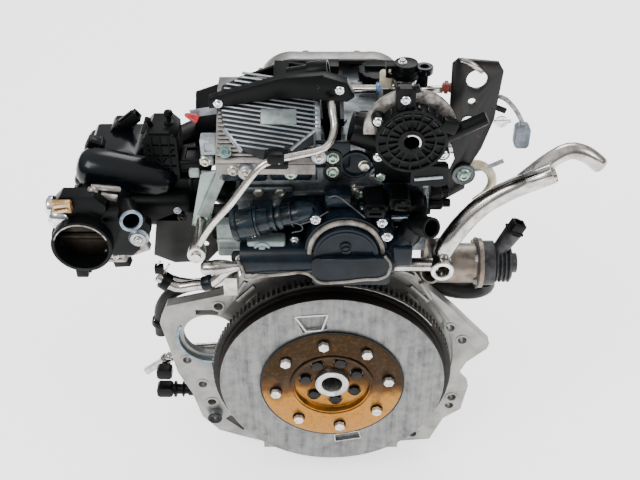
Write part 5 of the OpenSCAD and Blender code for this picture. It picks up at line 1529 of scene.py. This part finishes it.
@dataclass
class LowLeft:
    """Clips, collars and plugs low on the left."""

    wires: tuple = (((-198, -27, 166), (-193, -28, 172), (-189, -28, 180)),
                    ((-202, -27, 166), (-203, -28, 176), (-199, -28, 184)))
    bulb: tuple = ((3, 0), (6.6, 1.6), (8.4, 5), (8.8, 22), (7.4, 31), (5.2, 38), (5.2, 46))
    joint: tuple = ((7.8, 0), (9, 1), (9, 11), (7.8, 12))
    arm: Block = Block((-152, 20, 186), (-104, 26, 228), 2)
    collars: tuple = ((-208, 11, 3), (-198, 10.6, 2))
    ferrule: tuple = ((7, 0), (7, 5), (5.8, 6))
    screws: tuple = ((-176, 14, 216), (-138, 14, 190))

    def build(self) -> None:
        """Adds the pipe's clamp wires, its wide flange, the plug collars and the plate's arm."""
        cast("clamp_wires", [rod("wire", path, 1.2) for path in self.wires], Finishes.CHROME)
        fit(turned("pipe_bulb", self.bulb, 32, 0.8), Finishes.TUBE, (-152, -36, 180), (1, 0, 0.1))
        fit(turned("pipe_joint", self.joint, 32, 0.5), Finishes.SMOOTH, (-140, -34, 158), (-1, 0.1, -0.35))
        cast("plate_arm", [self.arm], Finishes.CHARCOAL, 0.6)
        rings = [lay(hoop("collar", 9.2, outer, 0, deep, width=0.5), (x, 20, -76), Axis.LEFT)
                 for x, outer, deep in self.collars]
        cast("switch_rings", rings, Finishes.MOULDED)
        fit(turned("ferrule", self.ferrule, 24), Finishes.CHROME, (-214, 40, -34.2), (-54, 0, -42))
        put(copies("plate_screws", screw(5.6), self.screws), Finishes.OILED)


@dataclass
class Flanks:
    """Ribs, core plugs, bosses and screws on the engine's two sides, its top and its timing end."""

    side: float = 97.0
    barrel: float = 58.0
    head: float = 108.0
    rear: float = 280.0
    rail: float = -60.0
    uprights: tuple = (("left", -1, (62, 112, 162, 210), 222), ("right", 1, (48, 86), 163))
    case_boss: tuple = ((9, 0), (9, 4), (7.5, 4.6))
    core_plug: tuple = ((17, 0), (17, 2.6), (14.6, 3.4), (13, 0.9), (4, 0.7))
    rail_screws: tuple = ((-1, (32, 76, 120, 165, 208, 246)), (1, (32, 76, 172, 208, 246)))
    head_plug: tuple = ((13, 0), (13, 2.4), (11, 3.0), (10, 0.8), (3, 0.6))
    cover_screws: tuple = ((-92, 100), (-92, 150), (-92, 200), (-92, 244), (92, 110), (92, 158), (92, 244))
    cover_top: float = 277.0
    panel: tuple = ((-60, 92), (60, 92), (76, 232), (42, 272), (-42, 272), (-76, 232))
    rim: tuple = ((-65, -46), (65, -46), (69, 20), (74, 84), (79, 148), (84, 212), (76, 268), (34, 287),
                  (-34, 287), (-76, 268), (-84, 212), (-79, 148), (-74, 84), (-69, 20))
    rim_tall: float = 3.2

    def crankcase(self) -> None:
        """Stiffening ribs on both sides of the crankcase, with round bosses where they cross."""
        for name, hand, uprights, reach in self.uprights:
            way = Axis.LEFT if hand < 0 else Axis.RIGHT
            face, barrel = hand * self.side, hand * self.barrel
            lines = [((face, y, -52), (face, y, 62)) for y in uprights]
            lines.append(((face, 15, 12), (face, reach, 12)))
            ribs = bars(lines, 5, 5, 1.2)
            ribs.append(beam("barrel_rib", (barrel, 15, 148), (barrel, 256, 148), 4, 5, 1.2))
            cast(f"case_ribs_{name}", ribs, Finishes.BLOCK)
            crossings = [(face, y, 12) for y in uprights]
            put(copies(f"case_bosses_{name}", turned("boss", self.case_boss, 32, 0.6), crossings, way),
                Finishes.BLOCK)
            plugs = [(barrel, y, 116) for y in (78, 182)]
            put(copies(f"core_plugs_{name}", turned("plug", self.core_plug, 40), plugs, way), Finishes.ZINC)
            seat = hoop("seat", 17, 21, 0, 1.8, width=0.6)
            put(copies(f"plug_seats_{name}", seat, plugs, way), Finishes.BLOCK)

    def pan(self) -> None:
        """The bosses and screws of the pan's rail, and ribs down the pan's sides."""
        places = [(hand * (self.side + 1), y, self.rail - 8) for hand, row in self.rail_screws for y in row]
        boss = turned("boss", ((6.4, 0), (6.4, 15)), 28, 0.8)
        put(copies("rail_bosses", boss, places, Axis.UP), Finishes.BLOCK)
        put(copies("rail_screws", screw(5.2), places, Axis.DOWN), Finishes.ZINC)
        ribs = [beam("rib", (x, y, -72), (x, y, -168), 4, 4, 1, 0.8) for x in (-93, 93)
                for y in (36, 92, 134, 178)]
        cast("pan_ribs", ribs, Finishes.BLOCK)

    def top(self) -> None:
        """Ribs and plugs on the head's open side, and the screws that hold the cam cover."""
        plug = turned("plug", self.head_plug, 36)
        plugs = [(self.head, y, 214) for y in (58, 216)]
        put(copies("head_plugs", plug, plugs, Axis.RIGHT), Finishes.ZINC)
        ribs = bars([((self.head, 30, z), (self.head, 252, z)) for z in (188, 240)], 4, 5, 1.2)
        ribs += bars([((self.head, y, 188), (self.head, y, 240)) for y in (84, 176, 240)], 4, 4, 1)
        cast("head_side_ribs", ribs, Finishes.HEAD)
        feet = [(x, y, self.cover_top) for x, y in self.cover_screws]
        boss = turned("boss", ((8, 0), (7.2, 6)), 32, 0.8)
        put(copies("cover_bosses", boss, feet, Axis.UP), Finishes.HEAD)
        tops = [(x, y, self.cover_top + 6) for x, y in self.cover_screws]
        put(copies("cam_cover_screws", screw(6.2), tops, Axis.UP), Finishes.ZINC)

    def timing(self) -> None:
        """The raised panel, cam bosses, rim and screws of the timing cover."""
        ribs = bars(round_trip(upright(self.panel, self.rear)), 5, 5, 1.2)
        ribs += bars([((x, self.rear, 92), (x * 1.25, self.rear, 232)) for x in (-24, 24)], 4, 4, 1)
        cast("timing_ribs", ribs, Finishes.BLOCK)
        cams = [(x, self.rear, 250) for x in (-52, 52)]
        cam_boss = hoop("cam_boss", 15, 21, 0, 3.2, width=0.8)
        put(copies("timing_cam_bosses", cam_boss, cams, Axis.BACK), Finishes.BLOCK)
        nose = hoop("nose_ring", 24, 30, 0, 3, width=0.8)
        fit(nose, Finishes.BLOCK, (0, self.rear, 0), Axis.BACK)
        boss = turned("boss", ((7.4, 0), (7.4, self.rim_tall)), 30, 0.8)
        put(copies("timing_bosses", boss, upright(self.rim, self.rear), Axis.BACK), Finishes.BLOCK)
        tops = upright(self.rim, self.rear + self.rim_tall)
        put(copies("timing_screws", screw(5.6), tops, Axis.BACK), Finishes.ZINC)

    def build(self) -> None:
        """Adds every side's detail."""
        self.crankcase()
        self.pan()
        self.top()
        self.timing()


@dataclass
class Studio:
    """The camera, the lights and the pale floor."""

    eye: tuple = (-15, -913, 899)
    pitch: float = 37.7
    lens: float = 55.6
    lamps: tuple = (("key_lamp", (-1.6, -1.5, 2.4), 1.4, 60), ("fill_lamp", (2.2, -1.0, 1.6), 1.2, 26),
                    ("back_lamp", (0.4, 2.2, 2.4), 1.6, 50))
    lit: tuple = (0, 0, 0.15)
    room_low: tuple = (0.12, 0.125, 0.13, 1)
    room_high: tuple = (1, 1, 1, 1)

    def camera(self) -> None:
        """Puts up the camera, level from side to side and looking down over the flywheel."""
        data = bpy.data.cameras.new("camera")
        data.lens = self.lens
        data.clip_end = 50
        camera = bpy.data.objects.new("camera", data)
        camera.location = vec(self.eye)
        camera.rotation_euler = (math.radians(90 - self.pitch), 0, 0)
        bpy.context.collection.objects.link(camera)
        bpy.context.scene.camera = camera

    def lamp(self, name: str, at: Point, size: float, power: float) -> None:
        """A soft square lamp that looks at the engine.

        Args:
            name: the lamp's name.
            at: its place in metres.
            size: its side in metres.
            power: its power in watts.
        """
        data = bpy.data.lights.new(name, "AREA")
        data.size, data.energy = size, power
        lamp = bpy.data.objects.new(name, data)
        lamp.location = at
        lamp.rotation_euler = (Vector(self.lit) - Vector(at)).to_track_quat("-Z", "Y").to_euler()
        bpy.context.collection.objects.link(lamp)

    def room(self) -> None:
        """A pale room that is brightest overhead."""
        world = bpy.data.worlds.new("room")
        world.use_nodes = True
        bpy.context.scene.world = world
        tree = world.node_tree
        where = tree.nodes.new("ShaderNodeTexCoord")
        parts = tree.nodes.new("ShaderNodeSeparateXYZ")
        ramp = tree.nodes.new("ShaderNodeValToRGB")
        low, high = ramp.color_ramp.elements
        low.color, high.color = self.room_low, self.room_high
        high.position = 0.8
        tree.links.new(where.outputs["Generated"], parts.inputs["Vector"])
        tree.links.new(parts.outputs["Z"], ramp.inputs["Fac"])
        tree.links.new(ramp.outputs["Color"], tree.nodes["Background"].inputs["Color"])
        tree.nodes["Background"].inputs["Strength"].default_value = 1.1

    def floor(self) -> None:
        """A wide pale floor at the height that the oil pan stands on."""
        low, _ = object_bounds()
        bpy.ops.mesh.primitive_plane_add(size=14, location=(0, 0, low[2] - 0.0002))
        plane = named("floor")
        paint = Graph("pale_floor").end(Base_Color=linear("#FAFAFA"), Roughness=0.9,
                                        Emission_Color=linear("#FFFFFF"), Emission_Strength=1.5)
        plane.data.materials.append(paint)
        plane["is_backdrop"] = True

    def build(self) -> None:
        """Adds the lamps, the room and the floor; the camera comes before the cord."""
        for lamp in self.lamps:
            self.lamp(*lamp)
        self.room()
        self.floor()


@dataclass
class Pigtail:
    """The short braided lead behind the lifting bracket, with its connector."""

    route: tuple = ((176, 14, 376), (182, 10, 375), (188, 6, 371), (194, 4, 364), (199, 3, 356),
                    (203, 2, 348))
    radius: float = 2.5
    curved: float = 1.004

    def build(self) -> None:
        plug = dress("pigtail_connector", Finishes.PLUG)
        piece = curve_through("braided_lead", self.route, self.radius)
        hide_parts("pigtail")
        put(piece, Finishes.BRAID)


class Castings:
    """Which finish and rounding each CAD node's copy gets, and the finish of each hidden node."""

    F = Finishes
    shown = (
        ("engine_block", F.BLOCK, 1.6, 3), ("oil_pan", F.BLOCK, 1.2), ("cylinder_head", F.HEAD, 1.5),
        ("cam_cover", F.HEAD, 1.5), ("head_gasket", F.FORGED, 0.2, 1), ("timing_cover", F.BLOCK, 1.5),
        ("drain_plug", F.ZINC, 0.4), ("ignition_coils", F.MOULDED, 1.2), ("dipstick_tube", F.ZINC, 0.2),
        ("oil_filter", F.DIPPED, 1.5), ("intake_manifold", F.MOULDED, 3, 3),
        ("throttle_body", F.MOULDED, 1.2), ("finned_cover", F.LEDGE, 0.6), ("top_bracket", F.DIPPED, 1.0),
        ("breather_elbow", F.MOULDED), ("oil_feed_pipe", F.STAYED, 0.3),
        ("coolant_housing", F.SMOOTH, 1.6, 3), ("coolant_cover", F.SMOOTH, 1.6, 3),
        ("coolant_elbow", F.MOULDED, 1.0), ("housing_bolts", F.ZINC, 0.5), ("barrel_sensor", F.BARREL, 1.2),
        ("sensor_plugs", F.MOULDED, 1.0), ("coolant_pipe_left", F.TUBE, 0.3),
        ("hose_clamps", F.DIPPED, 0.4), ("left_hose", F.RUBBER, 0), ("stub_pipe", F.TUBE, 0.4),
        ("pressure_switch", F.MOULDED), ("coolant_pipe_right", F.TUBE, 0.4), ("large_pipe", F.TUBE, 0.4),
        ("egr_housing", F.HEATED, 1.4, 3), ("egr_actuator", F.BURNT, 1.2), ("right_hose", F.RUBBER, 0),
        ("oil_separator", F.MOULDED), ("separator_ring", F.WORN, 1.0), ("fuel_pump", F.TUBE),
        ("fuel_pump_cap", F.MOULDED, 1.2), ("lifting_bracket", F.STAINED), ("side_plate", F.CHARCOAL),
        ("crankshaft", F.FORGED, 0.6), ("pilot_bush", F.TURNED), ("flywheel", F.WHEEL, 0.7),
        ("ring_gear", F.GEAR, 0.3), ("drive_plate", F.GOLD, 0.6), ("drive_plate_bolts", F.BOLTED, 0.5),
        ("crank_bolts", F.OILED, 0.4), ("crank_pulley", F.DIPPED, 0.6), ("oil_filler_cap", F.MOULDED),
        ("dipstick", F.YELLOW, 0.4), ("throttle_plate", F.BRASS, 0.4), ("egr_valve", F.TURNED, 0.4),
    )
    hidden = (("cylinder_liners", F.FORGED), ("main_bearing_caps", F.FORGED), ("rear_oil_seal", F.RUBBER),
              ("pistons", F.BLOCK), ("valves", F.TURNED), ("timing_chain", F.FORGED),
              ("intake_camshaft", F.FORGED), ("exhaust_camshaft", F.FORGED))

    def build(self) -> None:
        """Dresses the nodes that show, and gives the hidden ones their finish as they are."""
        for row in self.shown:
            dress(*row)
        for node, finish in self.hidden:
            materials = frame["nodes"][node].data.materials
            materials.clear()
            materials.append(finish.material())


def corners() -> list[list[float]]:
    """The lowest and highest corner of all that is there, in metres."""
    return [list(map(float, side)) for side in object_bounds()]


def main() -> None:
    """Builds the studio and the engine's looks in order."""
    logging.basicConfig(level=logging.INFO)
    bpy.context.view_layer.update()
    studio = Studio()
    studio.camera()
    for part in (Pigtail(), studio, Castings(), FlywheelEnd(), BlockFace(), IntakeSide(), CoolantUnit(),
                 HeadFace(), TopSide(), RightSide(), Separator(), PumpTop(), Lifting(), LowLeft(), Flanks()):
        part.build()


if __name__ == "__main__":
    main()
